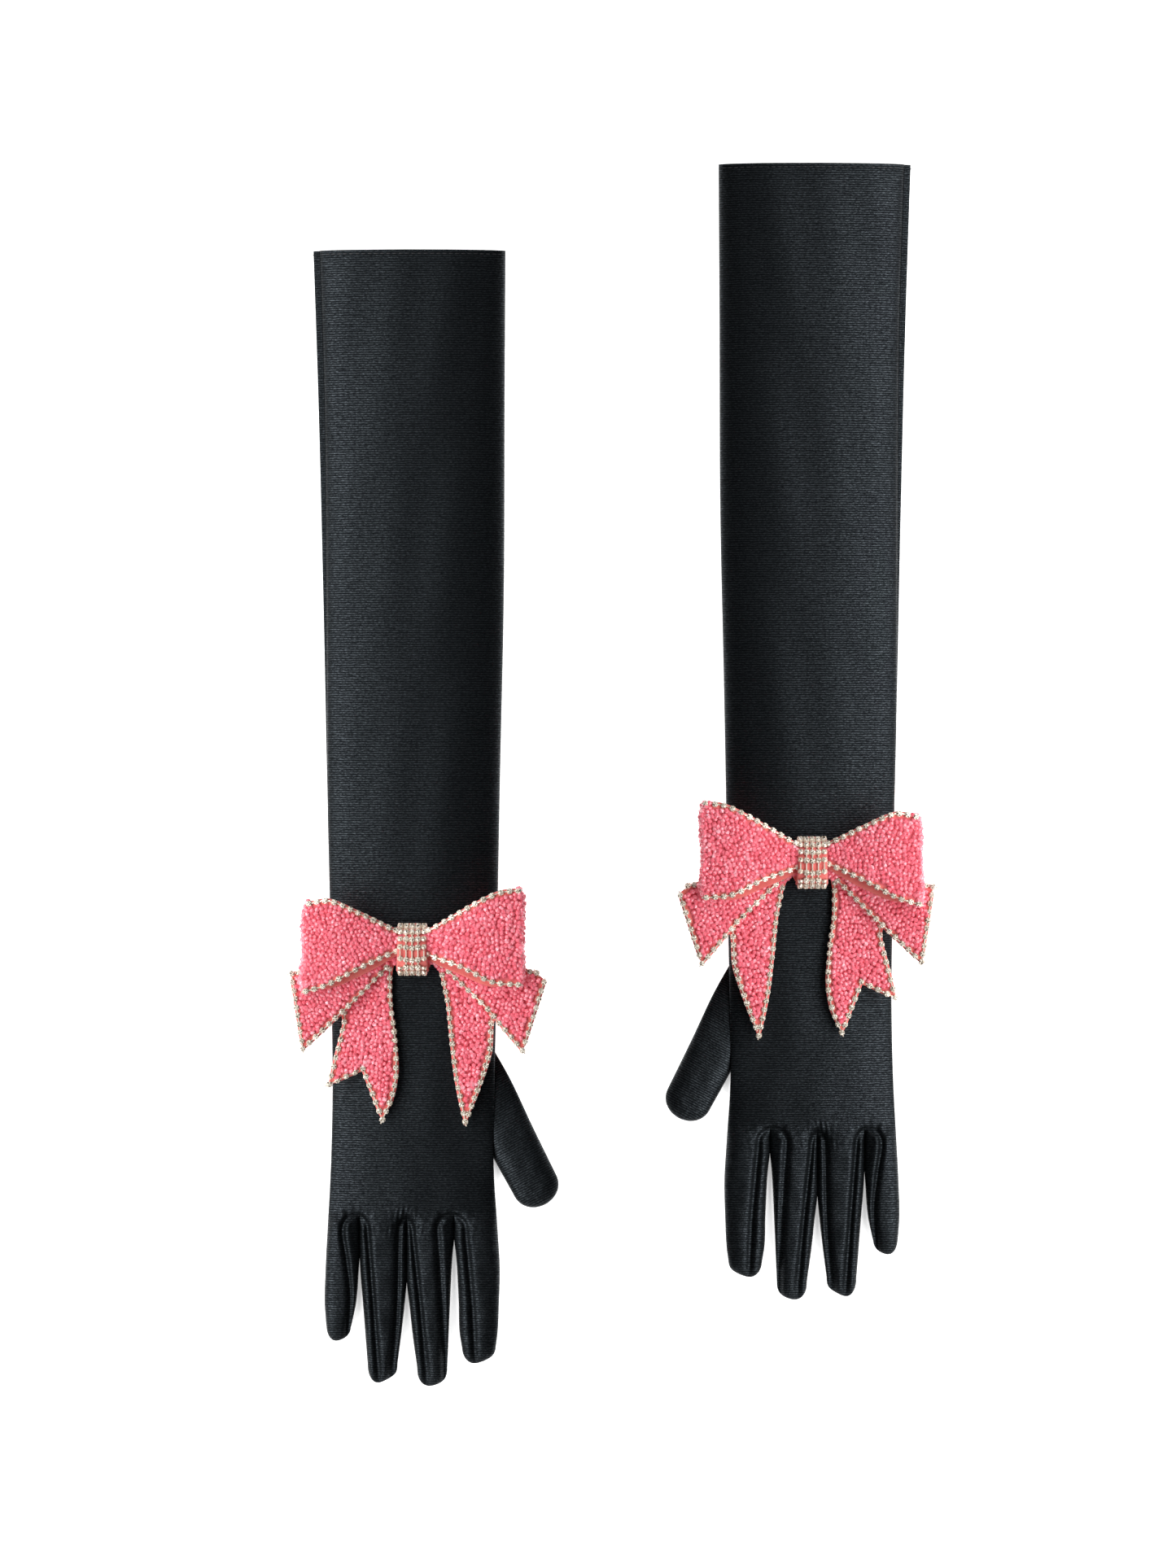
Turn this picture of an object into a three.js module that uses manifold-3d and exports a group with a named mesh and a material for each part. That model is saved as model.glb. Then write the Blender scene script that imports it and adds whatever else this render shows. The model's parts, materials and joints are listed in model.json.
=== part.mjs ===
// A pair of satin opera gloves laid flat, each with a beaded felt bow sewn on above the wrist.
// Millimetres. X runs across the pair, +Y towards the cuffs, +Z up from the table that the gloves lie on.
// A glove is drawn once as a right hand, back upwards: its fork line, where the fingers start, is y = 0.
import * as THREE from 'three';
import { LoftGeometry } from 'three/addons/geometries/LoftGeometry.js';
import { mergeVertices } from 'three/addons/utils/BufferGeometryUtils.js';
import Module from 'manifold-3d';

const wasm = await Module();
wasm.setup();

// Cloth and clearances
const FABRIC = 0.9;              // one layer of stretch satin with its seam allowance
const GAP = 0.3;                 // clearance between neighbouring pieces of one body
const JOINT_GAP = 0.5;           // clearance where a piece bends away from the next one
const CURVE_STEPS = 4;           // segments along each curve of a tube's cross-section
const EDGE_RISE = 3.2;           // height of a tube's side fold above the table
const EDGE_SLOPE = 1.4;          // how fast the side fold comes down as the section is drawn further in

// Sleeve, measured from the fork line
const SLEEVE_LENGTH = 474.4;
const FOLD_LINE = 330;           // where the upper sleeve folds over
const ELBOW_LINE = 210;
const WRIST_LINE = 107;
const PALM_LINE = 50;
const CUFF_WIDTH = 94.4;
const CUFF_LEAN = -1.8;          // the cuff's middle, towards the little finger's side
const FOLD_WIDTH = 89.4;
const ELBOW_WIDTH = 84.8;
const WRIST_WIDTH = 82;
const WRIST_LEAN = 0.4;
const PALM_WIDTH = 80.6;
const SLEEVE_LOFT = 13;          // height of the lying sleeve's crown
const WRIST_LOFT = 12.2;
const KNUCKLE_LOFT = 9.6;
const HEM_DEPTH = 9;             // the turned-in hem

// Fingers, from the little finger to the index finger: the root's width, the tip's width, the length
// and how far the tip's middle stands from the root's middle, towards the thumb
const FINGERS = [
	{ name: 'little_finger', rootWidth: 16.0, tipWidth: 12.6, length: 60.0, drift: -2.4, strips: [false, true] },
	{ name: 'ring_finger', rootWidth: 22.4, tipWidth: 15.6, length: 80.8, drift: -0.6, strips: [true, true] },
	{ name: 'middle_finger', rootWidth: 22.2, tipWidth: 15.6, length: 82.8, drift: 1.0, strips: [true, true] },
	{ name: 'index_finger', rootWidth: 21.0, tipWidth: 16.6, length: 72.0, drift: 1.4, strips: [true, false] },
];
const FINGER_LOFT = 9.2;
const FINGERTIP_LOFT = 7.0;
const STRIP_THICKNESS = 0.8;     // a fourchette, the narrow strip that makes a finger's side wall
const STRIP_LOW = 1.4;
const STRIP_HIGH = 5.6;

// Thumb, set into the side seam below the wrist
const THUMB_ANGLE = 27.5;        // degrees away from the fingers' direction
const THUMB_LENGTH = 76;         // from where its outer edge leaves the hand to its tip
const THUMB_TOP_LINE = 79.6;     // where its outer edge leaves the hand
const THUMB_ROOT_WIDTH = 26.4;
const THUMB_TIP_WIDTH = 23.0;
const THUMB_LOFT = 8.6;
const THUMB_TIP_LOFT = 7.6;

// Bow, measured from its knot
const KNOT_LINE = 131.8;         // the knot's middle above the fork line
const KNOT_OFFSET = 0.2;
const KNOT_WIDTH = 16;
const KNOT_LENGTH = 27;
const KNOT_WALL = 1.8;
const FELT = 1.2;
const BEAD_BED = 1.4;            // the layer of glass beads on the felt
const CHAIN_WIDTH = 3;           // rhinestone cup chain along the edges
const CHAIN_HEIGHT = 1.8;
const BACKING_WIDTH = 22;
const BACKING_LENGTH = 25;
const LOOP_RISE = 10;            // height of an upper loop at its outer fold
const LOOP_NECK = 4.6;           // height of an upper loop inside the knot

// The pair on the table
const PAIR_SPREAD = 195.4;       // between the middles of the two hands
const PAIR_STAGGER = 42.4;       // how much further up the left glove lies

const SATIN = { color: 0x16191c, roughness: 0.42, metalness: 0 };
const BEADS = { color: 0xe1647a, roughness: 0.18, metalness: 0 };
const FELT_FINISH = { color: 0xe85f5c, roughness: 0.9, metalness: 0 };
const CUP_CHAIN = { color: 0xe6dcc8, roughness: 0.2, metalness: 0.9 };

// ---- solids ----

function solidOf(geometry) {
	const bare = geometry.index ? geometry.toNonIndexed() : geometry.clone();
	bare.deleteAttribute('normal');
	bare.deleteAttribute('uv');
	const merged = mergeVertices(bare, 1e-3);
	const corners = Uint32Array.from(merged.index.array);
	const make = () => new wasm.Manifold(new wasm.Mesh({
		numProp: 3,
		vertProperties: Float32Array.from(merged.attributes.position.array),
		triVerts: corners,
	}));
	const solid = make();
	if (solid.volume() >= 0) return solid;
	for (let i = 0; i < corners.length; i += 3) corners.subarray(i + 1, i + 3).reverse();
	return make();
}

function geometryOf(solid) {
	const mesh = solid.getMesh();
	const positions = new Float32Array(mesh.numVert * 3);
	for (let i = 0; i < mesh.numVert; i++) {
		const from = i * mesh.numProp;
		positions.set(mesh.vertProperties.subarray(from, from + 3), i * 3);
	}
	const geometry = new THREE.BufferGeometry();
	geometry.setAttribute('position', new THREE.BufferAttribute(positions, 3));
	geometry.setIndex(new THREE.BufferAttribute(Uint32Array.from(mesh.triVerts), 1));
	geometry.computeVertexNormals();
	return geometry;
}

function piece(name, solid, finish) {
	const mesh = new THREE.Mesh(geometryOf(solid), new THREE.MeshStandardMaterial(finish));
	mesh.name = name;
	return mesh;
}

function block(xLow, xHigh, yLow, yHigh, zLow, zHigh) {
	const geometry = new THREE.BoxGeometry(xHigh - xLow, yHigh - yLow, zHigh - zLow);
	geometry.translate((xLow + xHigh) / 2, (yLow + yHigh) / 2, (zLow + zHigh) / 2);
	return solidOf(geometry);
}

function plate(points, zLow, zHigh) {
	const shape = new THREE.Shape(points.map(([x, y]) => new THREE.Vector2(x, y)));
	const geometry = new THREE.ExtrudeGeometry(shape, { depth: zHigh - zLow, bevelEnabled: false });
	geometry.translate(0, 0, zLow);
	return solidOf(geometry);
}

// ---- flattened tubes ----

// A station is a cross-section of a lying tube: its place along the tube, its two sides, its bottom and its crown.
function inset(station, by) {
	return {
		y: station.y,
		left: station.left + by,
		right: station.right - by,
		low: station.low + by,
		crown: station.crown - by,
		rise: Math.max(station.rise - by * EDGE_SLOPE, FABRIC / 4),
	};
}

function section({ y, left, right, low, crown, rise }) {
	const middle = (left + right) / 2;
	const half = (right - left) / 2;
	const corner = Math.min(rise, half * 0.9);
	const outline = new THREE.Shape();
	outline.moveTo(middle, low);
	outline.lineTo(right - corner, low);
	outline.quadraticCurveTo(right, low, right, low + rise);
	outline.quadraticCurveTo(middle + half * 0.75, crown, middle, crown);
	outline.quadraticCurveTo(middle - half * 0.75, crown, left, low + rise);
	outline.quadraticCurveTo(left, low, left + corner, low);
	outline.closePath();
	const points = outline.getPoints(CURVE_STEPS).slice(0, -1);
	return points.map((point) => new THREE.Vector3(point.x, y, point.y));
}

function loft(stations) {
	return solidOf(new LoftGeometry(stations.map(section), { capStart: true, capEnd: true }));
}

function between(a, b, share) {
	const mix = (key) => a[key] + (b[key] - a[key]) * share;
	return { y: mix('y'), left: mix('left'), right: mix('right'), low: mix('low'), crown: mix('crown'), rise: mix('rise') };
}

function slice(stations, y) {
	const next = stations.findIndex((station) => station.y <= y);
	const [a, b] = [stations[Math.max(next - 1, 0)], stations[Math.max(next, 1)]];
	return between(a, b, (y - a.y) / (b.y - a.y));
}

// ---- sleeve and hand ----

const fingerGaps = (FINGERS.length - 1) * JOINT_GAP;
const KNUCKLE_WIDTH = FINGERS.reduce((sum, finger) => sum + finger.rootWidth, fingerGaps);

function sleeveStation(y, width, lean, crown) {
	return { y, left: lean - width / 2, right: lean + width / 2, low: 0, crown, rise: EDGE_RISE };
}

const SLEEVE_STATIONS = [
	sleeveStation(SLEEVE_LENGTH, CUFF_WIDTH, CUFF_LEAN, SLEEVE_LOFT),
	sleeveStation(FOLD_LINE, FOLD_WIDTH, 0, SLEEVE_LOFT),
	sleeveStation(ELBOW_LINE, ELBOW_WIDTH, WRIST_LEAN / 2, SLEEVE_LOFT),
	sleeveStation(WRIST_LINE, WRIST_WIDTH, WRIST_LEAN, WRIST_LOFT),
	sleeveStation(PALM_LINE, PALM_WIDTH, WRIST_LEAN / 2, (WRIST_LOFT + KNUCKLE_LOFT) / 2),
	sleeveStation(0, KNUCKLE_WIDTH, 0, KNUCKLE_LOFT),
];

// The stretch of the sleeve from one line to a lower one, as a tube that is open at both ends.
function sleeveStretch(from, to) {
	const inside = SLEEVE_STATIONS.filter((station) => station.y < from && station.y > to);
	const stations = [slice(SLEEVE_STATIONS, from), ...inside, slice(SLEEVE_STATIONS, to)];
	const hollow = stations.map((station) => inset(station, FABRIC));
	hollow[0].y += 1;
	hollow[hollow.length - 1].y -= 1;
	return loft(stations).subtract(loft(hollow));
}

function upperSleeve() {
	return sleeveStretch(SLEEVE_LENGTH, FOLD_LINE + JOINT_GAP / 2);
}

// The hem is turned into the sleeve's mouth, so it is a shorter tube inside the first.
function cuffHem() {
	const ends = [SLEEVE_LENGTH - GAP, SLEEVE_LENGTH - HEM_DEPTH].map((y) => slice(SLEEVE_STATIONS, y));
	const outside = ends.map((station) => inset(station, FABRIC + GAP));
	const hollow = ends.map((station) => inset(station, 2 * FABRIC + GAP));
	hollow[0].y += 1;
	hollow[1].y -= 1;
	return loft(outside).subtract(loft(hollow));
}

const thumbTurn = THREE.MathUtils.degToRad(THUMB_ANGLE);
const thumbBottomLine = THUMB_TOP_LINE - THUMB_ROOT_WIDTH / Math.sin(thumbTurn);

// The thumb starts just clear of the hand's side, all along its mouth.
const besideThumb = [THUMB_TOP_LINE, PALM_LINE, Math.max(thumbBottomLine, 0)];
const handSide = Math.max(...besideThumb.map((y) => slice(SLEEVE_STATIONS, y).right));
const THUMB_MOUTH = handSide + JOINT_GAP;

function handAndForearm() {
	const tube = sleeveStretch(FOLD_LINE - JOINT_GAP / 2, 0);
	const margin = 4 * FABRIC;
	const inside = KNUCKLE_WIDTH / 4;
	const thumbHole = block(
		inside, THUMB_MOUTH + margin,
		thumbBottomLine + margin, THUMB_TOP_LINE - margin,
		2 * FABRIC, THUMB_LOFT - 2 * FABRIC);
	return tube.subtract(thumbHole);
}

// ---- fingers and thumb ----

const ROUND_END = [25, 50, 72, 86];   // angles, in degrees, of the stations round a fingertip

// Stations of a closed tube that runs down from y = 0 and ends in a round tip.
function digitStations(root, tip, length, by) {
	const tipHalf = (tip.right - tip.left) / 2;
	const straight = { ...tip, y: -(length - tipHalf) };
	const stations = [inset(root, by), inset(between(root, straight, 0.5), by), inset(straight, by)];
	const end = stations[stations.length - 1];
	const middle = (end.left + end.right) / 2;
	const half = (end.right - end.left) / 2;
	for (const degrees of ROUND_END) {
		const turn = THREE.MathUtils.degToRad(degrees);
		const narrow = Math.max(Math.cos(turn), 0.2);
		const lower = (end.crown - end.low) * (1 - narrow) * 0.28;
		stations.push({
			y: end.y - (tipHalf - by) * Math.sin(turn),
			left: middle - half * narrow,
			right: middle + half * narrow,
			low: end.low + lower * 0.4,
			crown: end.crown - lower,
			rise: end.rise * (0.4 + 0.6 * narrow),
		});
	}
	return stations;
}

function digit(root, tip, length) {
	const outside = digitStations(root, tip, length, 0);
	const hollow = digitStations(root, tip, length, FABRIC);
	hollow.unshift({ ...hollow[0], y: hollow[0].y + 1 });
	return loft(outside).subtract(loft(hollow));
}

// The two sides of a finger at its root and at its tip.
function fingerSides(index) {
	const { rootWidth, tipWidth, drift } = FINGERS[index];
	const before = FINGERS.slice(0, index).reduce((sum, finger) => sum + finger.rootWidth + JOINT_GAP, 0);
	const left = before - KNUCKLE_WIDTH / 2;
	const middle = left + rootWidth / 2 + drift;
	return {
		root: { left, right: left + rootWidth },
		tip: { left: middle - tipWidth / 2, right: middle + tipWidth / 2 },
	};
}

function finger(index) {
	const { strips, length } = FINGERS[index];
	const { root, tip } = fingerSides(index);
	const room = STRIP_THICKNESS + GAP;
	const narrowed = ({ left, right }) => ({
		left: left + (strips[0] ? room : 0),
		right: right - (strips[1] ? room : 0),
	});
	const rootStation = { ...narrowed(root), y: -JOINT_GAP, low: 0, crown: FINGER_LOFT, rise: EDGE_RISE };
	const tipStation = { ...narrowed(tip), low: 0, crown: FINGERTIP_LOFT, rise: EDGE_RISE };
	return digit(rootStation, tipStation, length);
}

// A fourchette lies along one side of a finger, from its root to where the tip starts to curve.
function fourchette(index, side) {
	const { root, tip } = fingerSides(index);
	const { length, tipWidth } = FINGERS[index];
	const corners = (x, y) => {
		const [low, high] = [x, x - side * STRIP_THICKNESS].sort((a, b) => a - b);
		return [[low, STRIP_LOW], [high, STRIP_LOW], [high, STRIP_HIGH], [low, STRIP_HIGH]]
			.map(([px, pz]) => new THREE.Vector3(px, y, pz));
	};
	const rootX = side > 0 ? root.right : root.left;
	const tipX = side > 0 ? tip.right : tip.left;
	const sections = [corners(rootX, -JOINT_GAP), corners(tipX, -(length - tipWidth / 2))];
	return solidOf(new LoftGeometry(sections, { capStart: true, capEnd: true }));
}

// The thumb is drawn pointing down -Y with its outer edge on x = 0, then turned and cut off at the hand's side.
function thumb() {
	const hidden = THUMB_ROOT_WIDTH / Math.tan(thumbTurn);
	const narrowing = (THUMB_ROOT_WIDTH - THUMB_TIP_WIDTH) / 2;
	const root = { y: 0, left: -THUMB_ROOT_WIDTH, right: 0, low: 0, crown: THUMB_LOFT, rise: EDGE_RISE };
	const tip = {
		left: -THUMB_ROOT_WIDTH + narrowing, right: -narrowing, low: 0, crown: THUMB_TIP_LOFT, rise: EDGE_RISE,
	};
	const tube = digit(root, tip, THUMB_LENGTH);
	const turned = tube.rotate([0, 0, THUMB_ANGLE]).translate([THUMB_MOUTH, THUMB_TOP_LINE, 0]);
	const cut = block(THUMB_MOUTH - hidden, THUMB_MOUTH, -THUMB_LENGTH, SLEEVE_LENGTH, -1, 2 * THUMB_LOFT);
	return turned.subtract(cut);
}

// ---- bow ----

// Height of each layer above the top of the sleeve. Every layer clears the chain of the one below.
const LAYER = FELT + GAP + CHAIN_HEIGHT + GAP;
const BACKING_LOW = GAP;
const TAILS_LOW = BACKING_LOW + FELT + GAP;
const WINGS_LOW = TAILS_LOW + LAYER;
const LOOPS_LOW = WINGS_LOW + LAYER;
const KNOT_HIGH = LOOPS_LOW + LOOP_NECK + BEAD_BED + GAP + KNOT_WALL;
const KNOT_HALF = KNOT_WIDTH / 2;

// Each panel's outline, from the knot round the edges that carry the cup chain, and back under the layer above.
const LEFT_TAIL = {
	edge: [[-10.4, -9.4], [-10.2, -26], [-7.2, -53], [-7.4, -63], [-9.4, -73], [-14.8, -85],
		[-24.8, -59.4], [-42, -67.4], [-37.6, -50.2], [-33.2, -36.6]],
	hidden: [[-20, -17], [-6, 3], [-1.5, 3], [-1.5, -7]],
};
const RIGHT_TAIL = {
	edge: [[38.8, -38.6], [38.6, -50], [35.6, -60.2], [25.6, -86.2], [20.8, -64.5],
		[18.6, -47], [16.6, -27], [13.6, -12.6]],
	hidden: [[1.5, -7], [1.5, 3], [6, 3], [25, -18]],
};
const LEFT_WING = {
	edge: [[-60, -11], [-54, -50.2], [-29.2, -26.6], [-12, -9.4]],
	hidden: [[-1.5, -5.5], [-1.5, 4], [-8, 4]],
};
const RIGHT_WING = {
	edge: [[16.8, -9.8], [36, -29.4], [54, -51], [65.2, -15.8], [61.2, -10.6]],
	hidden: [[8, 4], [1.5, 4], [1.5, -5.5]],
};
const LEFT_LOOP = {
	top: [[-8.8, 10.4], [-26, 18.6], [-42, 24.6], [-52.6, 23.4]],
	bottom: [[-54.4, -21], [-42, -17.2], [-25, -9], [-8.8, -1.6]],
	reach: 54.4,
};
const RIGHT_LOOP = {
	top: [[8.8, 10.4], [28, 21.4], [44, 28.4], [54.4, 29.8]],
	bottom: [[54.4, -17.8], [40.4, -16.2], [24, -8.8], [8.8, -3.4]],
	reach: 54.4,
};

function signedArea(points) {
	return THREE.ShapeUtils.area(points.map(([x, y]) => new THREE.Vector2(x, y)));
}

// The path moved sideways by a distance, towards its left for a positive one.
function offsetPath(path, distance) {
	const normal = (a, b) => new THREE.Vector2(a[1] - b[1], b[0] - a[0]).normalize();
	return path.map((point, i) => {
		const before = normal(path[Math.max(i - 1, 0)], path[Math.max(i, 1)]);
		const after = normal(path[Math.min(i, path.length - 2)], path[Math.min(i + 1, path.length - 1)]);
		const bisector = before.clone().add(after).normalize();
		const stretch = distance / bisector.dot(after);
		return [point[0] + bisector.x * stretch, point[1] + bisector.y * stretch];
	});
}

function edgeBand(edge, inward, zLow, zHigh) {
	const outer = offsetPath(edge, inward * 0.1);
	const inner = offsetPath(edge, inward * CHAIN_WIDTH).reverse();
	return plate([...outer, ...inner], zLow, zHigh);
}

function flatPanel(name, { edge, hidden }, low) {
	const inward = Math.sign(signedArea([...edge, ...hidden]));
	const felt = plate([...edge, ...hidden], low, low + FELT);
	const bedEdge = offsetPath(edge, inward * (CHAIN_WIDTH + GAP));
	const bed = plate([...bedEdge, ...hidden], low + FELT / 2, low + FELT + BEAD_BED);
	const chainLow = low + FELT + GAP;
	return [
		piece(name, felt.add(bed), BEADS),
		piece(name + '_chain', edgeBand(edge, inward, chainLow, chainLow + CHAIN_HEIGHT), CUP_CHAIN),
	];
}

// The side view of an upper loop, grown outwards by a distance: flat below, folded back at its reach.
function loopProfile(reach, grow) {
	const radius = LOOP_RISE / 2 + grow;
	const foldX = reach - LOOP_RISE / 2;
	const middle = LOOPS_LOW + LOOP_RISE / 2;
	const profile = new THREE.Shape();
	profile.moveTo(1.5 - grow, LOOPS_LOW - grow);
	profile.lineTo(foldX, LOOPS_LOW - grow);
	profile.absarc(foldX, middle, radius, -Math.PI / 2, Math.PI / 2, false);
	profile.quadraticCurveTo(reach * 0.45, LOOPS_LOW + LOOP_RISE + grow, KNOT_HALF, LOOPS_LOW + LOOP_NECK + grow);
	profile.lineTo(1.5 - grow, LOOPS_LOW + LOOP_NECK + grow);
	profile.closePath();
	return profile;
}

function loopSolid(reach, grow, side) {
	const options = { depth: 4 * reach, bevelEnabled: false, curveSegments: 6 };
	const geometry = new THREE.ExtrudeGeometry(loopProfile(reach, grow), options);
	geometry.rotateX(Math.PI / 2);
	geometry.translate(0, 2 * reach, 0);
	if (side < 0) geometry.scale(-1, 1, 1);
	return solidOf(geometry);
}

function upperLoop(name, { top, bottom, reach }, side) {
	const high = KNOT_HIGH + LOOP_RISE + CHAIN_HEIGHT;
	const neck = [[side * 1.5, bottom[3][1]], [side * 1.5, top[0][1]]];
	const outline = [...top, ...bottom, ...neck];
	const inward = Math.sign(signedArea(outline));
	const bedTop = offsetPath(top, inward * (CHAIN_WIDTH + GAP));
	const bedBottom = offsetPath(bottom, inward * (CHAIN_WIDTH + GAP));
	const surface = loopSolid(reach, 0, side);
	const ring = surface.subtract(loopSolid(reach, -FELT, side));
	const felt = ring.intersect(plate(outline, 0, high));
	const front = block(-2 * reach, 2 * reach, -2 * reach, 2 * reach, LOOPS_LOW + LOOP_NECK / 2, high);
	const beadLayer = loopSolid(reach, BEAD_BED, side).subtract(loopSolid(reach, -FELT / 2, side));
	const bed = beadLayer.intersect(front).intersect(plate([...bedTop, ...bedBottom], 0, high));
	const chainLayer = loopSolid(reach, GAP + CHAIN_HEIGHT, side).subtract(loopSolid(reach, GAP, side));
	const chain = (edge) => {
		const start = side * KNOT_HALF + side * GAP;
		const stop = side * (reach - 0.5);
		const span = block(Math.min(start, stop), Math.max(start, stop), -2 * reach, 2 * reach, 0, high);
		return chainLayer.intersect(front).intersect(span).intersect(edgeBand(edge, inward, 0, high));
	};
	return [
		piece(name, felt.add(bed), BEADS),
		piece(name + '_top_chain', chain(top), CUP_CHAIN),
		piece(name + '_bottom_chain', chain(bottom), CUP_CHAIN),
	];
}

// The knot is a strap of cup chain that arches over the bow's middle and is sewn down at both ends.
function knot() {
	const half = KNOT_LENGTH / 2;
	const arch = block(-KNOT_HALF, KNOT_HALF, -half, half, TAILS_LOW, KNOT_HIGH);
	const inner = half - KNOT_WALL;
	const under = block(-KNOT_WIDTH, KNOT_WIDTH, -inner, inner, 0, KNOT_HIGH - KNOT_WALL);
	return arch.subtract(under);
}

function backing() {
	const [x, y] = [BACKING_WIDTH / 2, BACKING_LENGTH / 2];
	return block(-x, x, -y, y, BACKING_LOW, BACKING_LOW + FELT);
}

function bow(prefix) {
	const group = new THREE.Group();
	group.add(
		piece(prefix + 'bow_backing', backing(), FELT_FINISH),
		piece(prefix + 'bow_knot', knot(), CUP_CHAIN),
		...flatPanel(prefix + 'bow_outer_tail', LEFT_TAIL, TAILS_LOW),
		...flatPanel(prefix + 'bow_inner_tail', RIGHT_TAIL, TAILS_LOW),
		...flatPanel(prefix + 'bow_outer_wing', LEFT_WING, WINGS_LOW),
		...flatPanel(prefix + 'bow_inner_wing', RIGHT_WING, WINGS_LOW),
		...upperLoop(prefix + 'bow_outer_loop', LEFT_LOOP, -1),
		...upperLoop(prefix + 'bow_inner_loop', RIGHT_LOOP, 1),
	);
	const seat = slice(SLEEVE_STATIONS, KNOT_LINE + BACKING_LENGTH / 2).crown;
	group.position.set(KNOT_OFFSET, KNOT_LINE, seat);
	return group;
}

// ---- the pair ----

function glove(hand) {
	const prefix = hand + '_';
	const group = new THREE.Group();
	group.add(
		piece(prefix + 'upper_sleeve', upperSleeve(), SATIN),
		piece(prefix + 'cuff_hem', cuffHem(), SATIN),
		piece(prefix + 'hand_and_forearm', handAndForearm(), SATIN),
		piece(prefix + 'thumb', thumb(), SATIN),
		bow(prefix),
	);
	FINGERS.forEach(({ name, strips }, index) => {
		group.add(piece(prefix + name, finger(index), SATIN));
		const sides = [['outer', -1], ['inner', 1]];
		sides.filter((_, i) => strips[i]).forEach(([place, side]) => {
			group.add(piece(prefix + name + '_' + place + '_fourchette', fourchette(index, side), SATIN));
		});
	});
	return group;
}

const longest = Math.max(...FINGERS.map((finger) => finger.length));
const pair = new THREE.Group();
for (const [hand, side] of [['right', -1], ['left', 1]]) {
	const one = glove(hand);
	one.scale.x = -side;
	one.position.set(side * PAIR_SPREAD / 2, (longest - SLEEVE_LENGTH + side * PAIR_STAGGER) / 2, 0);
	pair.add(one);
}

export default pair;
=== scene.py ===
import json
import logging
import math
from dataclasses import dataclass
from enum import Enum
from itertools import combinations
from typing import Sequence

import bpy
import numpy as np
from bpy.types import ID, Collection, Material, Mesh, Node, NodeSocket, Object
from mathutils import Matrix, Vector

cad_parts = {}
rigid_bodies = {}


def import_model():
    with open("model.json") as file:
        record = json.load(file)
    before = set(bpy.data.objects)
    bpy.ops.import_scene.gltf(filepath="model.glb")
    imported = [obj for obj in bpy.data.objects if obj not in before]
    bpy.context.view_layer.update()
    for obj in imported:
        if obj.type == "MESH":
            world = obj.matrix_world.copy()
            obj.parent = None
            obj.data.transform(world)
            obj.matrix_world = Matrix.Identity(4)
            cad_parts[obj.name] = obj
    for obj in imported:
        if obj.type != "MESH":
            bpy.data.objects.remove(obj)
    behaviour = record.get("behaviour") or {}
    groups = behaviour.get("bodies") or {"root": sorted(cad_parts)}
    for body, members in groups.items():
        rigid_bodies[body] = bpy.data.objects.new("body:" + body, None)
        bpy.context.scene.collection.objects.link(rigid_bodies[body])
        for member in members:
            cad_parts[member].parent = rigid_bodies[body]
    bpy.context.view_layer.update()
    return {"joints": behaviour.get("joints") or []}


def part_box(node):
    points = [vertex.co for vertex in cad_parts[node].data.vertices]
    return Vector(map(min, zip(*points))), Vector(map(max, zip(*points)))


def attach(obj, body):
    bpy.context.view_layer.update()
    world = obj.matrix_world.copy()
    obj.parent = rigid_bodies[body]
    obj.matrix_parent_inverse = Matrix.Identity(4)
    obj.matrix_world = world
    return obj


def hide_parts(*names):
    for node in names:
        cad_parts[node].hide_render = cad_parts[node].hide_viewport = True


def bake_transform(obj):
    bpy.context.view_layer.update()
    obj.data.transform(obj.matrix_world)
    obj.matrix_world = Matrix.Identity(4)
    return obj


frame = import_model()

Array = np.ndarray
LOG = logging.getLogger("opera_gloves")
MM = 0.001


class Hand(Enum):
    """Which hand a glove is made for."""

    RIGHT = "right"
    LEFT = "left"


# ---- Small numeric helpers. Lengths inside a glove are in millimetres.


def smooth(low: float, high: float, value: Array) -> Array:
    """A soft step from 0 at low to 1 at high.

    Args:
        low: Where the step starts.
        high: Where the step ends; it may lie below low.
        value: The numbers to step.

    Returns:
        Shares between 0 and 1.
    """
    share = np.clip((np.asarray(value, float) - low) / (high - low), 0.0, 1.0)
    return share * share * (3.0 - 2.0 * share)


def bump(value: Array, width: float) -> Array:
    """A bell curve of the given width around zero."""
    return np.exp(-((np.asarray(value, float) / width) ** 2))


def eased(stations: Sequence[tuple[float, float]], at: Array) -> Array:
    """A smooth curve through a few stations.

    Args:
        stations: Pairs of place and value, in any order of place.
        at: The places to read.

    Returns:
        The value at each place, level beyond the ends.
    """
    table = np.array(sorted(stations), float)
    place, value = table[:, 0], table[:, 1]
    slope = np.gradient(value, place)
    at = np.clip(np.asarray(at, float), place[0], place[-1])
    i = np.clip(np.searchsorted(place, at) - 1, 0, len(place) - 2)
    span = place[i + 1] - place[i]
    t = (at - place[i]) / span
    rise = (2 * t**3 - 3 * t**2 + 1) * value[i] + (3 * t**2 - 2 * t**3) * value[i + 1]
    lean = (t**3 - 2 * t**2 + t) * slope[i] + (t**3 - t**2) * slope[i + 1]
    return rise + lean * span


def unit(vectors: Array, least: float = 1e-9) -> Array:
    """Vectors brought to a length of one; the last axis holds their parts."""
    return vectors / np.maximum(np.linalg.norm(vectors, axis=-1, keepdims=True), least)


def distances(path: Array) -> Array:
    """How far along a path each of its points lies."""
    return np.concatenate([[0.0], np.cumsum(np.linalg.norm(np.diff(path, axis=0), axis=1))])


def read_rows(rows: Array, places: Array, at: Array) -> Array:
    """Rows read between their places, each column by itself."""
    return np.stack([np.interp(at, places, column) for column in rows.T], axis=1)


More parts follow.
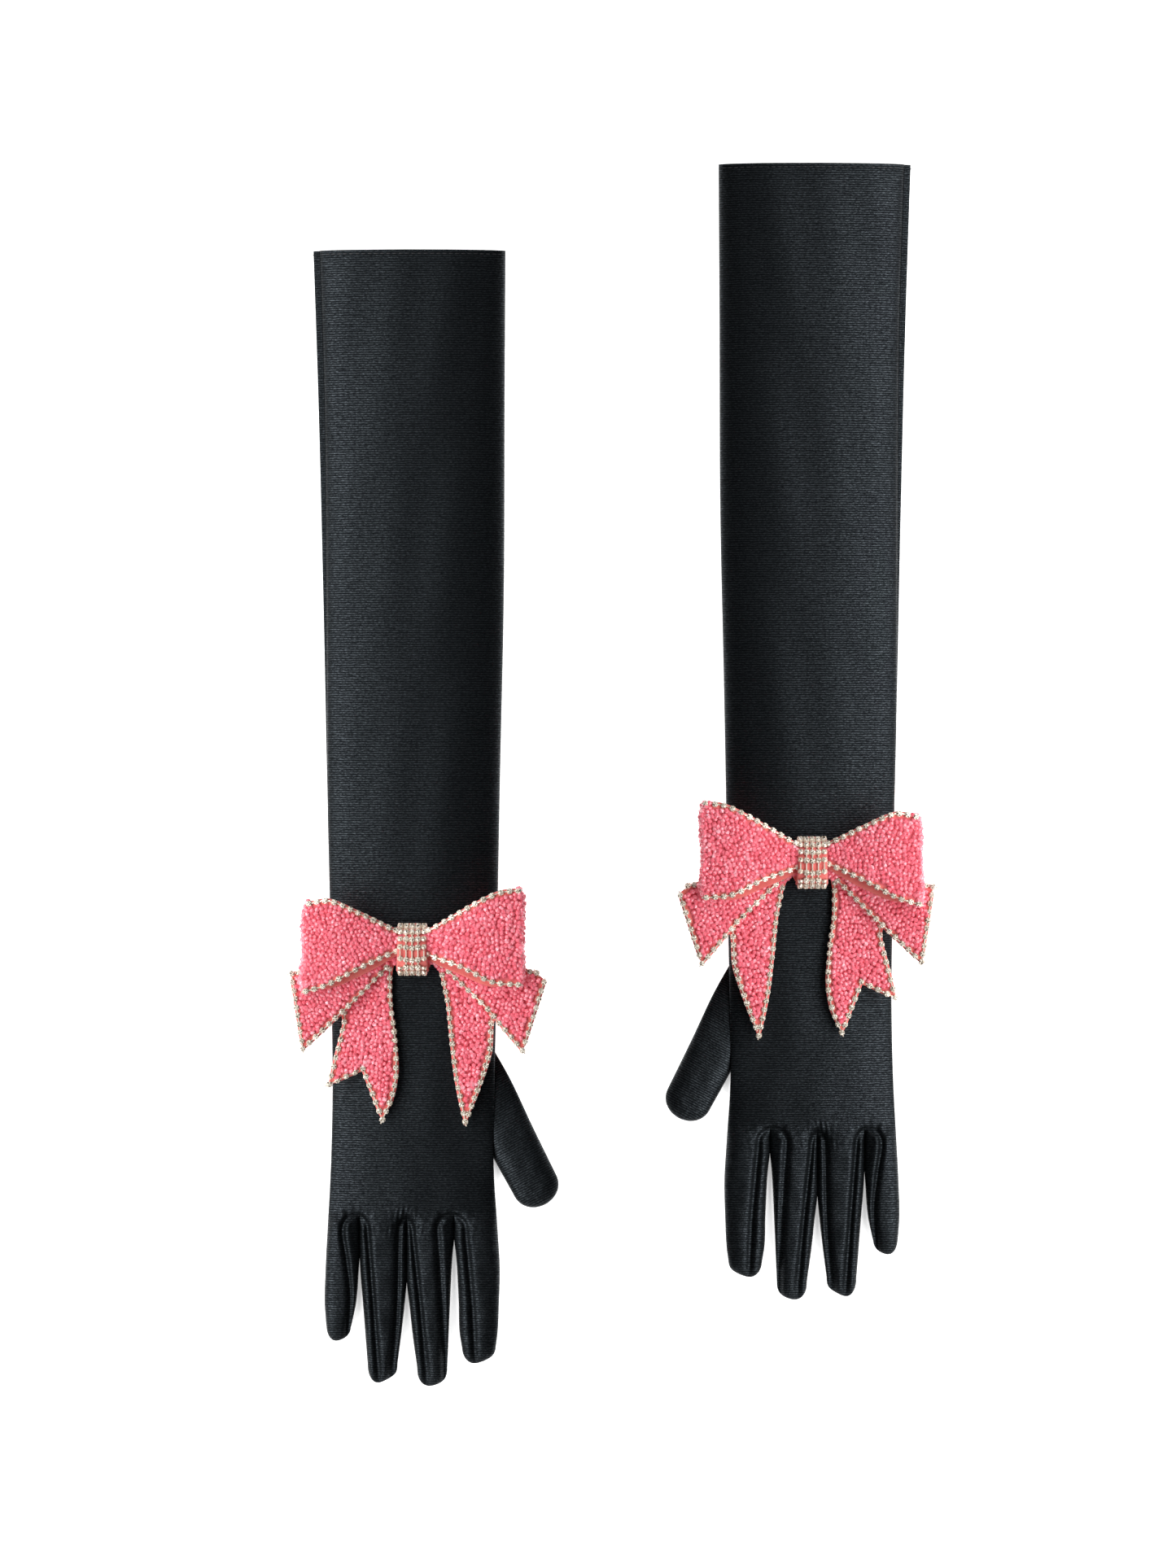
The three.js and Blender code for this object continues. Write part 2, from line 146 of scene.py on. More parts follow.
def resampled(path: Array, count: int, curved: bool) -> Array:
    """A path again, with evenly spaced points.

    Args:
        path: The points that the path goes through.
        count: How many points to return.
        curved: Whether to round the path through its points.

    Returns:
        The new points, one row each.
    """
    path = np.asarray(path, float)
    if curved and len(path) > 2:
        knots = np.arange(len(path), dtype=float)
        fine = np.linspace(0, len(path) - 1, 40 * len(path))
        path = np.stack([eased(list(zip(knots, column)), fine) for column in path.T], axis=1)
    along = distances(path)
    return read_rows(path, along, np.linspace(0.0, along[-1], count))


def offset_path(path: Array, distance: float) -> Array:
    """A flat path moved sideways, towards its left for a positive distance.

    Args:
        path: Points in the plane.
        distance: How far to move it.

    Returns:
        As many points, with mitred corners.
    """
    step = np.diff(path, axis=0)
    normal = unit(np.stack([-step[:, 1], step[:, 0]], axis=1))
    before = np.vstack([normal[:1], normal])
    after = np.vstack([normal, normal[-1:]])
    bisector = unit(before + after)
    sharpest = 0.5
    stretch = distance / np.maximum((bisector * after).sum(axis=1), sharpest)
    return path + bisector * stretch[:, None]


def ripple(x: Array, y: Array, seed: int, length: float) -> Array:
    """Soft irregular waves, about one high, for cloth that isn't quite smooth.

    Args:
        x: Places across.
        y: Places along.
        seed: Which set of waves.
        length: The typical wave length.

    Returns:
        The wave height at each place.
    """
    draw = np.random.default_rng(seed)
    total = np.zeros(np.broadcast(x, y).shape)
    waves, usual_height = 6, 3.0
    for _ in range(waves):
        angle, phase = draw.uniform(0, 2 * math.pi, 2)
        wave = length * draw.uniform(0.6, 1.6)
        total += np.sin((x * math.cos(angle) + y * math.sin(angle)) * 2 * math.pi / wave + phase)
    return total / usual_height


# ---- Meshes


@dataclass(frozen=True)
class Placement:
    """Where one glove lies on the table.

    Attributes:
        hand: The hand that the glove is for.
        x: The middle of the hand, across the pair, in metres.
        y: The fork line, where the fingers start, in metres.
        side: 1 for a right hand, -1 for its mirror image.
    """

    hand: Hand
    x: float
    y: float
    side: int

    @classmethod
    def of(cls, hand: Hand) -> "Placement":
        """Reads a glove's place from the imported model."""
        fold = next(j for j in frame["joints"] if j["name"] == f"{hand.value}_sleeve_fold")
        low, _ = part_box(f"{hand.value}_hand_and_forearm")
        return cls(hand, fold["pos_m"][0], low.y, 1 if hand is Hand.RIGHT else -1)

    def name(self, piece: str) -> str:
        """The full name of a piece of this glove."""
        return f"{self.hand.value}_{piece}"

    def names(self, pieces: Sequence[str]) -> list[str]:
        """The full names of several pieces."""
        return [self.name(piece) for piece in pieces]

    def to_table(self, points: Array) -> Array:
        """Points of the glove, in millimetres, as points on the table, in metres."""
        moved = np.asarray(points, float) * MM
        moved[..., 0] *= self.side
        return moved + np.array([self.x, self.y, 0.0])

    def directions(self, vectors: Array) -> Array:
        """Directions in the glove as directions on the table."""
        return np.asarray(vectors, float) * np.array([self.side, 1.0, 1.0])


def grid_faces(rows: int, columns: int, ring: bool) -> Array:
    """Quads between the points of a grid.

    Args:
        rows: Number of rows of points.
        columns: Number of points in a row.
        ring: Whether the last column joins the first.

    Returns:
        Four point numbers for each quad.
    """
    last = columns if ring else columns - 1
    r, c = np.meshgrid(np.arange(rows - 1), np.arange(last), indexing="ij")
    start, c = r.ravel() * columns, c.ravel()
    after, above = (c + 1) % columns, start + columns
    return np.stack([start + c, start + after, above + after, above + c], axis=1)


def vertex_normals(points: Array, faces: Array) -> Array:
    """Smooth normals of a mesh, weighted by area."""
    a, b, c, d = (points[faces[:, k]] for k in range(4))
    face = np.cross(c - a, d - b)
    total = np.zeros_like(points)
    for k in range(4):
        np.add.at(total, faces[:, k], face)
    return unit(total, 1e-12)


def facing_out(points: Array, faces: Array) -> bool:
    """Whether a surface's highest point faces up, as it does when its faces point outwards."""
    return vertex_normals(points, faces)[int(points[:, 2].argmax()), 2] > 0


def add_object(name: str, data: ID) -> Object:
    """Adds an object to the scene for a mesh, a light or a camera."""
    thing = bpy.data.objects.new(name, data)
    bpy.context.scene.collection.objects.link(thing)
    return thing


def link_mesh(
    name: str, points: Array, faces: Sequence, material: Material | None = None
) -> Object:
    """Adds a mesh object of points in metres.

    Args:
        name: The object's name.
        points: One row for each point.
        faces: The point numbers of each face.
        material: Its material, which also makes it smooth-shaded.

    Returns:
        The new object.
    """
    mesh = bpy.data.meshes.new(name)
    mesh.from_pydata(points.tolist(), [], [list(map(int, f)) for f in faces])
    if material is not None:
        mesh.materials.append(material)
        mesh.shade_smooth()
    return add_object(name, mesh)


def store(mesh: Mesh, name: str, kind: str, values: Sequence, domain: str = "POINT") -> None:
    """Stores an attribute on a mesh.

    Args:
        mesh: The mesh.
        name: The attribute's name.
        kind: FLOAT for a number, FLOAT_VECTOR for three.
        values: The numbers, in order.
        domain: Whether points or faces carry it.
    """
    part = "vector" if kind == "FLOAT_VECTOR" else "value"
    numbers = np.asarray(values, np.float32).ravel()
    mesh.attributes.new(name, kind, domain).data.foreach_set(part, numbers)


def set_uv(mesh: Mesh, uv: Array) -> None:
    """Stores one UV for each point of a mesh, in centimetres of cloth."""
    layer = mesh.uv_layers.new(name="cloth")
    corner = np.zeros(len(mesh.loops), np.int32)
    mesh.loops.foreach_get("vertex_index", corner)
    layer.data.foreach_set("uv", uv[corner].astype(np.float32).ravel())


@dataclass
class ClothGrid:
    """A tube of cloth as a grid of points, ring after ring.

    Attributes:
        points: Rows by columns by three, in millimetres.
        uv: Rows by columns by two, in centimetres of cloth.
        spare_first: Whether the first ring only helps the shading.
        spare_last: Whether the last ring only helps the shading.
        close_first: Whether the first ring is filled in.
        close_last: Whether the last ring is filled in.
    """

    points: Array
    uv: Array
    spare_first: bool = False
    spare_last: bool = False
    close_first: bool = False
    close_last: bool = False

    def build(self, name: str, place: Placement, material: Material) -> Object:
        """Makes the mesh, with smooth normals that run on over its borders.

        Args:
            name: The object's name.
            place: The glove that it belongs to.
            material: Its material.

        Returns:
            The new object.
        """
        rows, columns, _ = self.points.shape
        flat = place.to_table(self.points).reshape(-1, 3)
        faces = grid_faces(rows, columns, ring=True)
        flip = not facing_out(flat, faces)
        normals = vertex_normals(flat, faces) * (-1 if flip else 1)
        first, last = int(self.spare_first), rows - int(self.spare_last)
        keep = slice(first * columns, last * columns)
        flat, normals, uv = flat[keep], normals[keep], self.uv.reshape(-1, 2)[keep]
        polygons = [list(f) for f in grid_faces(last - first, columns, ring=True)]
        for wanted, ring in ((self.close_first, 0), (self.close_last, last - first - 1)):
            if not wanted:
                continue
            index = ring * columns + np.arange(columns)
            middle = len(flat)
            flat = np.vstack([flat, flat[index].mean(axis=0)])
            normals = np.vstack([normals, normals[index].mean(axis=0)])
            uv = np.vstack([uv, uv[index].mean(axis=0)])
            around = index if ring else index[::-1]
            polygons += [[around[i - 1], around[i], middle] for i in range(columns)]
        polygons = [p[::-1] for p in polygons] if flip else polygons
        thing = link_mesh(name, flat, polygons, material)
        set_uv(thing.data, uv)
        thing.data.normals_split_custom_set_from_vertices(unit(normals).tolist())
        return thing


def border_places(rows: int, columns: int) -> list[tuple[int, int]]:
    """The row and column of each point round a grid's border, in order."""
    border = [(0, c) for c in range(columns)]
    border += [(r, columns - 1) for r in range(1, rows)]
    border += [(rows - 1, c) for c in range(columns - 2, -1, -1)]
    return border + [(r, 0) for r in range(rows - 2, 0, -1)]


def thick_sheet(
    name: str,
    grid: Array,
    thickness: float,
    place: Placement,
    material: Material,
    bed: Array | None = None,
) -> Object:
    """A panel with bulging edges, made from the grid of its upper face.

    Args:
        name: The object's name.
        grid: Rows by columns by three, in millimetres.
        thickness: How thick the panel is.
        place: The glove that it belongs to.
        material: Its material.
        bed: For each point of the grid, the share of it that glue and beads cover.

    Returns:
        The new object, closed all round.
    """
    rows, columns, _ = grid.shape
    faces = grid_faces(rows, columns, ring=False)
    upper = grid.reshape(-1, 3)
    normals = vertex_normals(upper, faces)
    if not facing_out(upper, faces):
        normals = -normals
    lower = upper - normals * thickness
    border = border_places(rows, columns)
    index = np.array([r * columns + c for r, c in border])
    inner = np.stack([grid[min(max(r, 1), rows - 2), min(max(c, 1), columns - 2)] for r, c in border])
    bulge = 0.22
    waist = (upper[index] + lower[index]) / 2 + unit(upper[index] - inner) * thickness * bulge
    n, m = len(upper), len(index)
    polygons = [list(f) for f in faces] + [list(f[::-1] + n) for f in faces]
    for i in range(m):
        j = (i + 1) % m
        polygons.append([index[j], index[i], 2 * n + i, 2 * n + j])
        polygons.append([2 * n + j, 2 * n + i, index[i] + n, index[j] + n])
    points = place.to_table(np.vstack([upper, lower, waist]))
    if not facing_out(points[:n], faces):
        polygons = [p[::-1] for p in polygons]
    thing = link_mesh(name, points, polygons, material)
    cover = np.zeros(len(points))
    cover[:n] = 0.0 if bed is None else bed.ravel()
    store(thing.data, "bed", "FLOAT", cover)
    return thing


# ---- Repeated shapes, by Geometry Nodes


class Nodes:
    """A node tree, with short ways to add nodes and join them."""

    def __init__(self, tree: bpy.types.NodeTree) -> None:
        """Works on a node tree."""
        self.tree = tree

    def node(self, kind: str, **settings) -> Node:
        """Adds a node and sets its options."""
        made = self.tree.nodes.new(kind)
        for key, value in settings.items():
            setattr(made, key, value)
        return made

    def link(self, source: NodeSocket, target: NodeSocket) -> None:
        """Joins two sockets."""
        self.tree.links.new(source, target)


class NodeTree(Nodes):
    """A Geometry Nodes tree with named inputs, built once and used by many modifiers."""

    def __init__(self, name: str, inputs: Sequence[tuple[str, str]]) -> None:
        """Makes the tree, with a geometry in and out.

        Args:
            name: The tree's name.
            inputs: The name and the socket type of each further input.
        """
        super().__init__(bpy.data.node_groups.new(name, "GeometryNodeTree"))
        sockets = self.tree.interface
        sockets.new_socket("Geometry", in_out="OUTPUT", socket_type="NodeSocketGeometry")
        sockets.new_socket("Geometry", in_out="INPUT", socket_type="NodeSocketGeometry")
        self.identifiers = {}
        for label, kind in inputs:
            socket = sockets.new_socket(label, in_out="INPUT", socket_type=kind)
            self.identifiers[label] = socket.identifier
        self.entry = self.node("NodeGroupInput")
        self.exit = self.node("NodeGroupOutput")

    def named(self, attribute: str, kind: str) -> NodeSocket:
        """Reads an attribute of the points by its name."""
        reader = self.node("GeometryNodeInputNamedAttribute", data_type=kind)
        reader.inputs["Name"].default_value = attribute
        return reader.outputs["Attribute"]

    def random(self, kind: str, low: object, high: object, offset: int) -> NodeSocket:
        """A random value for each point or copy, from the tree's seed.

        Args:
            kind: FLOAT for a number, FLOAT_VECTOR for three.
            low: The least value.
            high: The greatest value.
            offset: What is added to the seed, so that no two draws are alike.

        Returns:
            The value's socket.
        """
        drawn = self.node("FunctionNodeRandomValue", data_type=kind)
        which = {"FLOAT": 1, "FLOAT_VECTOR": 0}[kind]
        for name, value in (("Min", low), ("Max", high)):
            [s for s in drawn.inputs if s.name == name][which].default_value = value
        shifted = self.node("ShaderNodeMath", operation="ADD")
        self.link(self.entry.outputs["Seed"], shifted.inputs[0])
        shifted.inputs[1].default_value = offset
        self.link(shifted.outputs[0], drawn.inputs["Seed"])
        return [s for s in drawn.outputs if s.name == "Value"][which]

    def finish_copies(self, copies: NodeSocket) -> None:
        """Gives each copy a random tint, makes the copies real and sets their material."""
        store = self.node("GeometryNodeStoreNamedAttribute", data_type="FLOAT", domain="INSTANCE")
        store.inputs["Name"].default_value = "tint"
        real = self.node("GeometryNodeRealizeInstances")
        dress = self.node("GeometryNodeSetMaterial")
        self.link(copies, store.inputs["Geometry"])
        self.link(self.random("FLOAT", 0.0, 1.0, 31), store.inputs["Value"])
        self.link(store.outputs[0], real.inputs[0])
        self.link(real.outputs[0], dress.inputs["Geometry"])
        self.link(self.entry.outputs["Finish"], dress.inputs["Material"])
        self.link(dress.outputs[0], self.exit.inputs[0])

    def apply(self, thing: Object, values: dict[str, object]) -> Object:
        """Runs the tree on an object and keeps the result as a plain mesh.

        Args:
            thing: The object that carries the points or the surface.
            values: A value for each named input.

        Returns:
            The same object, with its new mesh.
        """
        modifier = thing.modifiers.new(self.tree.name, "NODES")
        modifier.node_group = self.tree
        for label, value in values.items():
            modifier[self.identifiers[label]] = value
        bpy.context.view_layer.update()
        graph = bpy.context.evaluated_depsgraph_get()
        mesh = bpy.data.meshes.new_from_object(thing.evaluated_get(graph), depsgraph=graph)
        thing.modifiers.clear()
        old, thing.data = thing.data, mesh
        bpy.data.meshes.remove(old)
        mesh.name = thing.name
        return thing


COPY_INPUTS = (("Shape", "NodeSocketObject"), ("Finish", "NodeSocketMaterial"), ("Seed", "NodeSocketInt"))


def copies_tree() -> NodeTree:
    """The tree that sets a small shape at each vertex, turned and sized by its attributes."""
    tree = NodeTree("set shapes at points", COPY_INPUTS)
    shape = tree.node("GeometryNodeObjectInfo")
    place = tree.node("GeometryNodeInstanceOnPoints")
    turn = tree.node("FunctionNodeEulerToRotation")
    tree.link(tree.entry.outputs["Shape"], shape.inputs["Object"])
    tree.link(tree.entry.outputs["Geometry"], place.inputs["Points"])
    tree.link(shape.outputs["Geometry"], place.inputs["Instance"])
    tree.link(tree.named("turn", "FLOAT_VECTOR"), turn.inputs[0])
    tree.link(turn.outputs[0], place.inputs["Rotation"])
    tree.link(tree.named("size", "FLOAT_VECTOR"), place.inputs["Scale"])
    tree.finish_copies(place.outputs[0])
    return tree


def scatter_tree() -> NodeTree:
    """The tree that strews beads over a surface, close together but never in the same place."""
    full_turn, smallest, largest = 6.28, 0.78, 1.2
    inputs = (*COPY_INPUTS, ("Spacing", "NodeSocketFloat"), ("Lift", "NodeSocketFloat"))
    tree = NodeTree("strew beads", inputs)
    strew = tree.node("GeometryNodeDistributePointsOnFaces", distribute_method="POISSON")
    strew.inputs["Density Max"].default_value = 3.0e6
    shape = tree.node("GeometryNodeObjectInfo")
    raised = tree.node("GeometryNodeSetPosition")
    place = tree.node("GeometryNodeInstanceOnPoints")
    height = tree.node("ShaderNodeMath", operation="MULTIPLY")
    offset = tree.node("ShaderNodeVectorMath", operation="SCALE")
    turn = tree.node("FunctionNodeEulerToRotation")
    tree.link(tree.entry.outputs["Geometry"], strew.inputs["Mesh"])
    tree.link(tree.entry.outputs["Spacing"], strew.inputs["Distance Min"])
    tree.link(tree.entry.outputs["Seed"], strew.inputs["Seed"])
    tree.link(tree.named("bed", "FLOAT"), strew.inputs["Density Factor"])
    tree.link(tree.entry.outputs["Shape"], shape.inputs["Object"])
    tree.link(tree.random("FLOAT", 0.0, 1.0, 3), height.inputs[0])
    tree.link(tree.entry.outputs["Lift"], height.inputs[1])
    tree.link(strew.outputs["Normal"], offset.inputs[0])
    tree.link(height.outputs[0], offset.inputs["Scale"])
    tree.link(strew.outputs["Points"], raised.inputs["Geometry"])
    tree.link(offset.outputs[0], raised.inputs["Offset"])
    tree.link(raised.outputs[0], place.inputs["Points"])
    tree.link(shape.outputs["Geometry"], place.inputs["Instance"])
    tree.link(tree.random("FLOAT_VECTOR", (0.0,) * 3, (full_turn,) * 3, 7), turn.inputs[0])
    tree.link(turn.outputs[0], place.inputs["Rotation"])
    tree.link(tree.random("FLOAT_VECTOR", (smallest,) * 3, (largest,) * 3, 11), place.inputs["Scale"])
    tree.finish_copies(place.outputs[0])
    return tree


def template(name: str, points: list, faces: list) -> Object:
    """A small shape to copy, in metres about the origin, with a facet number on each face.

    Args:
        name: The object's name.
        points: Corner points, in millimetres.
        faces: The corners of each face.

    Returns:
        The object, which main removes when the copies are made.
    """
    thing = link_mesh(name, np.array(points, float) * MM, faces)
    golden_share = 0.618
    store(thing.data, "facet", "FLOAT", [golden_share * (i + 1) % 1.0 for i in range(len(faces))], "FACE")
    return thing


def ring(count: int, radius: float, height: float, turn: float = 0.0) -> list:
    """Points round a circle, at a height."""
    angles = [turn + 2 * math.pi * i / count for i in range(count)]
    return [(radius * math.cos(a), radius * math.sin(a), height) for a in angles]


def box_faces(start: int) -> list:
    """The faces of a box whose corners are four below and four above."""
    a, b, c, d, e, f, g, h = range(start, start + 8)
    return [[d, c, b, a], [e, f, g, h], [a, b, f, e], [b, c, g, f], [c, d, h, g], [d, a, e, h]]


def bar_corners(half: float, wide: float) -> list:
    """The corners of a bar of chain along X, four below and four above."""
    corners = ((-half, -wide), (half, -wide), (half, wide), (-half, wide))
    return [(x, y, height) for height in (0.05, 0.55) for x, y in corners]


@dataclass(frozen=True)
class Trims:
    """The small parts that the bow's chains and beading are made of, in millimetres.

    The girdle is the height of a stone's upper row of corners, a link's reach is half the length
    of a bare bar, and the pitch is the distance from one cup to the next.
    """

    cup_radius: float = 1.4
    cup_height: float = 1.0
    stone_radius: float = 1.35
    stone_top: float = 1.85
    girdle: float = 1.5
    link_width: float = 0.6
    link_reach: float = 1.9
    pitch: float = 4.3
    bead_radius: float = 1.45
    sides: int = 8

    def prong(self, angle: float) -> list:
        """The corners of one prong of a cup, four below and four above."""
        away = np.array([math.cos(angle), math.sin(angle)])
        across = np.array([-away[1], away[0]]) * 0.3
        low = [away * 1.1 - across, away * 1.6 - across, away * 1.6 + across, away * 1.1 + across]
        high = [away * 0.86 - across * 0.7, away * 1.28 - across]
        high += [away * 1.28 + across, away * 0.86 + across * 0.7]
        lower = [(*p, self.cup_height * 0.5) for p in low]
        return lower + [(*p, self.cup_height + 0.75) for p in high]

    def cup(self) -> Object:
        """A cup with four prongs, and the bar that joins it to its neighbours."""
        n = self.sides
        points = ring(n, self.cup_radius, 0.0) + ring(n, self.cup_radius * 1.06, self.cup_height)
        faces = [[i, (i + 1) % n, n + (i + 1) % n, n + i] for i in range(n)]
        faces.append(list(range(n, 2 * n)))
        for k in range(4):
            faces += box_faces(len(points))[1:]
            points += self.prong(math.pi * (0.25 + 0.5 * k))
        faces += box_faces(len(points))
        points += bar_corners(self.pitch / 2 + 0.05, self.link_width / 2)
        return template("trim_cup", points, faces)

    def link(self) -> Object:
        """A plain bar of chain, without a cup."""
        return template("trim_link", bar_corners(self.link_reach, self.link_width / 2), box_faces(0))

    def stone(self) -> Object:
        """A round stone with a flat top and two rows of facets."""
        n = self.sides
        points = ring(n, self.stone_radius, self.cup_height + 0.1)
        points += ring(n, self.stone_radius * 0.86, self.girdle, math.pi / n)
        points += ring(n, self.stone_radius * 0.52, self.stone_top)
        points.append((0.0, 0.0, self.stone_top + 0.03))
        faces = []
        for i in range(n):
            j = (i + 1) % n
            faces += [[i, j, n + i], [j, n + j, n + i]]
            faces += [[n + i, 2 * n + j, 2 * n + i], [n + i, n + j, 2 * n + j]]
            faces.append([2 * n + i, 2 * n + j, 3 * n])
        return template("trim_stone", points, faces)

    def bead(self) -> Object:
        """A faceted bead with twenty faces."""
        golden = (1 + math.sqrt(5)) / 2
        base = [(-1, golden, 0), (1, golden, 0), (-1, -golden, 0), (1, -golden, 0)]
        points = base + [(z, x, y) for x, y, z in base] + [(y, z, x) for x, y, z in base]
        scale = self.bead_radius / math.hypot(1, golden)
        hull = np.array(points, float) * scale
        faces = []
        near = 2 * scale * 1.01
        for a, b, c in combinations(range(len(hull)), 3):
            pa, pb, pc = hull[[a, b, c]]
            if max(np.linalg.norm(side) for side in (pa - pb, pb - pc, pc - pa)) < near:
                out = np.dot(np.cross(pb - pa, pc - pa), pa + pb + pc) > 0
                faces.append([a, b, c] if out else [a, c, b])
        return template("trim_bead", hull, faces)

    def stitch(self) -> Object:
        """One sewn stitch, a short rounded dash."""
        n, flatness = 6, 0.8
        outline = ((-1.0, 0.08), (-0.7, 0.22), (0.0, 0.26), (0.7, 0.22), (1.0, 0.08))
        points = [(z, x, y * flatness) for at, radius in outline for x, y, z in ring(n, radius, at)]
        faces = grid_faces(len(outline), n, ring=True).tolist()
        faces += [list(range(n - 1, -1, -1)), list(range(len(points) - n, len(points)))]
        return template("trim_stitch", points, faces)


@dataclass
class Stations:
    """Places for copies of a shape, each with its own turn.

    Attributes:
        points: Where the copies stand, in millimetres in the glove.
        tangents: The direction of each copy's length.
        normals: The direction of each copy's height.
    """

    points: Array
    tangents: Array
    normals: Array

    @classmethod
    def along(cls, path: Array, normals: Array, pitch: float) -> "Stations":
        """Evenly spaced stations along a path.

        Args:
            path: Points of the path.
            normals: The surface's normal at each of them.
            pitch: The distance wanted between stations.

        Returns:
            The stations, the first and the last at the path's ends.
        """
        along = distances(path)
        count = max(2, round(along[-1] / pitch) + 1)
        at = np.linspace(0.0, along[-1], count)
        points = read_rows(path, along, at)
        return cls(points, np.gradient(points, axis=0), read_rows(normals, along, at))

    @classmethod
    def together(cls, sets: Sequence["Stations"]) -> "Stations":
        """Several sets of stations as one."""
        parts = zip(*((s.points, s.tangents, s.normals) for s in sets))
        return cls(*(np.vstack(part) for part in parts))

    def after_first(self) -> "Stations":
        """These stations without the first one."""
        return Stations(self.points[1:], self.tangents[1:], self.normals[1:])

    def carrier(self, name: str, place: Placement, size: Array | None = None) -> Object:
        """A mesh of loose points that carries the stations to the node tree.

        Args:
            name: The name of the piece that the copies become.
            place: The glove that they belong to.
            size: Three scales for each copy, or nothing for full size.

        Returns:
            The object.
        """
        thing = link_mesh(name, place.to_table(self.points), [])
        turns = []
        for tangent, normal in zip(place.directions(self.tangents), place.directions(self.normals)):
            up = Vector(normal).normalized()
            side = up.cross(Vector(tangent)).normalized()
            ahead = side.cross(up)
            turns += list(Matrix((ahead, side, up)).transposed().to_euler())
        store(thing.data, "turn", "FLOAT_VECTOR", turns)
        store(thing.data, "size", "FLOAT_VECTOR", np.ones((len(self.points), 3)) if size is None else size)
        return thing


# ---- The glove's cloth


@dataclass(frozen=True)
class Fork:
    """The seam round the gusset between two fingers, on the back of the hand.

    Attributes:
        left: The seam's left leg, as places along and across.
        right: Its right leg.
        top: Where the arch that joins the legs reaches.
        base: Where the arch starts.
    """

    left: tuple
    right: tuple
    top: float
    base: float = -6.0

    def distance(self, x: Array, y: Array) -> Array:
        """How far each place lies outside the seam, negative inside it."""
        below = np.minimum(y, self.base)
        left, right = eased(self.left, below), eased(self.right, below)
        middle, radius = (left + right) / 2, (right - left) / 2
        above = np.maximum(y - self.base, 0) / (self.top - self.base)
        return (np.hypot((x - middle) / radius, above) - 1) * np.minimum(radius, 6.0)


@dataclass(frozen=True)
class Finger:
    """One finger of the glove.

    Attributes:
        name: The finger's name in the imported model.
        left: Its left edge, as places along and across.
        right: Its right edge.
        length: How far the tip lies below the fork line.
        slant: How much lower the tip's left corner is than its right one.
        gussets: The model's side strips that belong to this finger.
    """

    name: str
    left: tuple
    right: tuple
    length: float
    slant: float
    gussets: tuple


FORKS = (
    Fork(
        ((-8, -34.6), (-22, -32.4), (-38.8, -30.8), (-57, -32)),
        ((-4, -22.4), (-40, -19.6), (-76, -17)),
        0.8,
    ),
    Fork(((-4, -6.8), (-60, -8.8), (-75, -10.4)), ((-6, -0.4), (-40, 3.2), (-76, 6.6)), -1.6),
    Fork(((-5, 12.0), (-40, 14.2), (-70, 15.8)), ((-7, 25.8), (-40, 28.8), (-70, 30.4)), 1.0),
)
FINGERS = (
    Finger(
        "little_finger",
        ((-4, -41.9), (-26, -43), (-42, -43.4), (-54, -42.6)),
        ((-4, -26.3), (-20, -26.2), (-26, -26.6), (-42, -27.9), (-54, -30.4)),
        60.6,
        0.6,
        ("little_finger_inner_fourchette",),
    ),
    Finger(
        "ring_finger",
        ((-4, -26.3), (-20, -26.2), (-26, -25.9), (-42, -24.6), (-58, -23.4), (-72, -22.3)),
        ((-4, -3.1), (-18, -3.1), (-32, -3.1), (-44, -4.2), (-58, -5.8), (-72, -7.6)),
        80.8,
        1.2,
        ("ring_finger_outer_fourchette", "ring_finger_inner_fourchette"),
    ),
    Finger(
        "middle_finger",
        ((-4, -3.1), (-18, -3.1), (-32, -3.1), (-44, -1.7), (-58, -0.2), (-74, 2.0)),
        ((-4, 20.3), (-11, 20.2), (-18, 19.5), (-42, 18.2), (-58, 17.5), (-74, 16.8)),
        82.8,
        0.5,
        ("middle_finger_outer_fourchette", "middle_finger_inner_fourchette"),
    ),
    Finger(
        "index_finger",
        ((-4, 20.3), (-11, 20.2), (-18, 21.0), (-42, 22.4), (-58, 23), (-64, 24)),
        ((-4, 41.4), (-26, 42.6), (-42, 42.2), (-58, 41.4), (-64, 40.6)),
        71.5,
        0.9,
        ("index_finger_outer_fourchette",),
    ),
)
LEFT_EDGE = (
    (474.4, -49.0), (402, -46.6), (306, -44.2), (210, -42.2),
    (107, -40.0), (60, -39.6), (20, -40.6), (-4, -41.9),
)
RIGHT_EDGE = (
    (474.4, 45.4), (402, 45.0), (306, 44.6), (210, 42.6),
    (107, 40.8), (60, 40.0), (20, 39.8), (-4, 41.4),
)
CROWN = ((474.4, 12.6), (440, 13.0), (330, 13.0), (107, 12.2), (50, 11.0), (12, 9.6), (-8, 9.0))
LINING_DEPTHS = (70.0, 45.0, 28.0, 18.0, 11.0, 9.0, 8.6, 5.0, 2.0, 0.7, 0.15)
HEM_DEPTHS = (0.0, 0.25, 0.8, 1.6, 2.0, 2.4, 3.2, 5.0, 7.5, 8.6, 9.0, 9.4, 10.2, 13.0)
THUMB_WIDTHS = ((-4, 12.6), (10, 13.2), (40, 12.2), (76, 11.3))
THUMB_CROWN = ((-4, 4.4), (0, 4.6), (24, 6.3), (40, 7.7), (76, 7.4))


def rounded(across: Array, fullness: float) -> Array:
    """A rounded section, 1 in the middle and 0 at its two sides; fuller for a high fullness."""
    return np.sqrt(np.clip(1 - np.abs(across) ** fullness, 0, 1))


def ended(share: Array, bluntness: float, fullness: float) -> Array:
    """How a rounded tip narrows, as one column, never quite to nothing."""
    least = 0.02
    return np.maximum((1 - share**bluntness) ** fullness, least)[:, None]


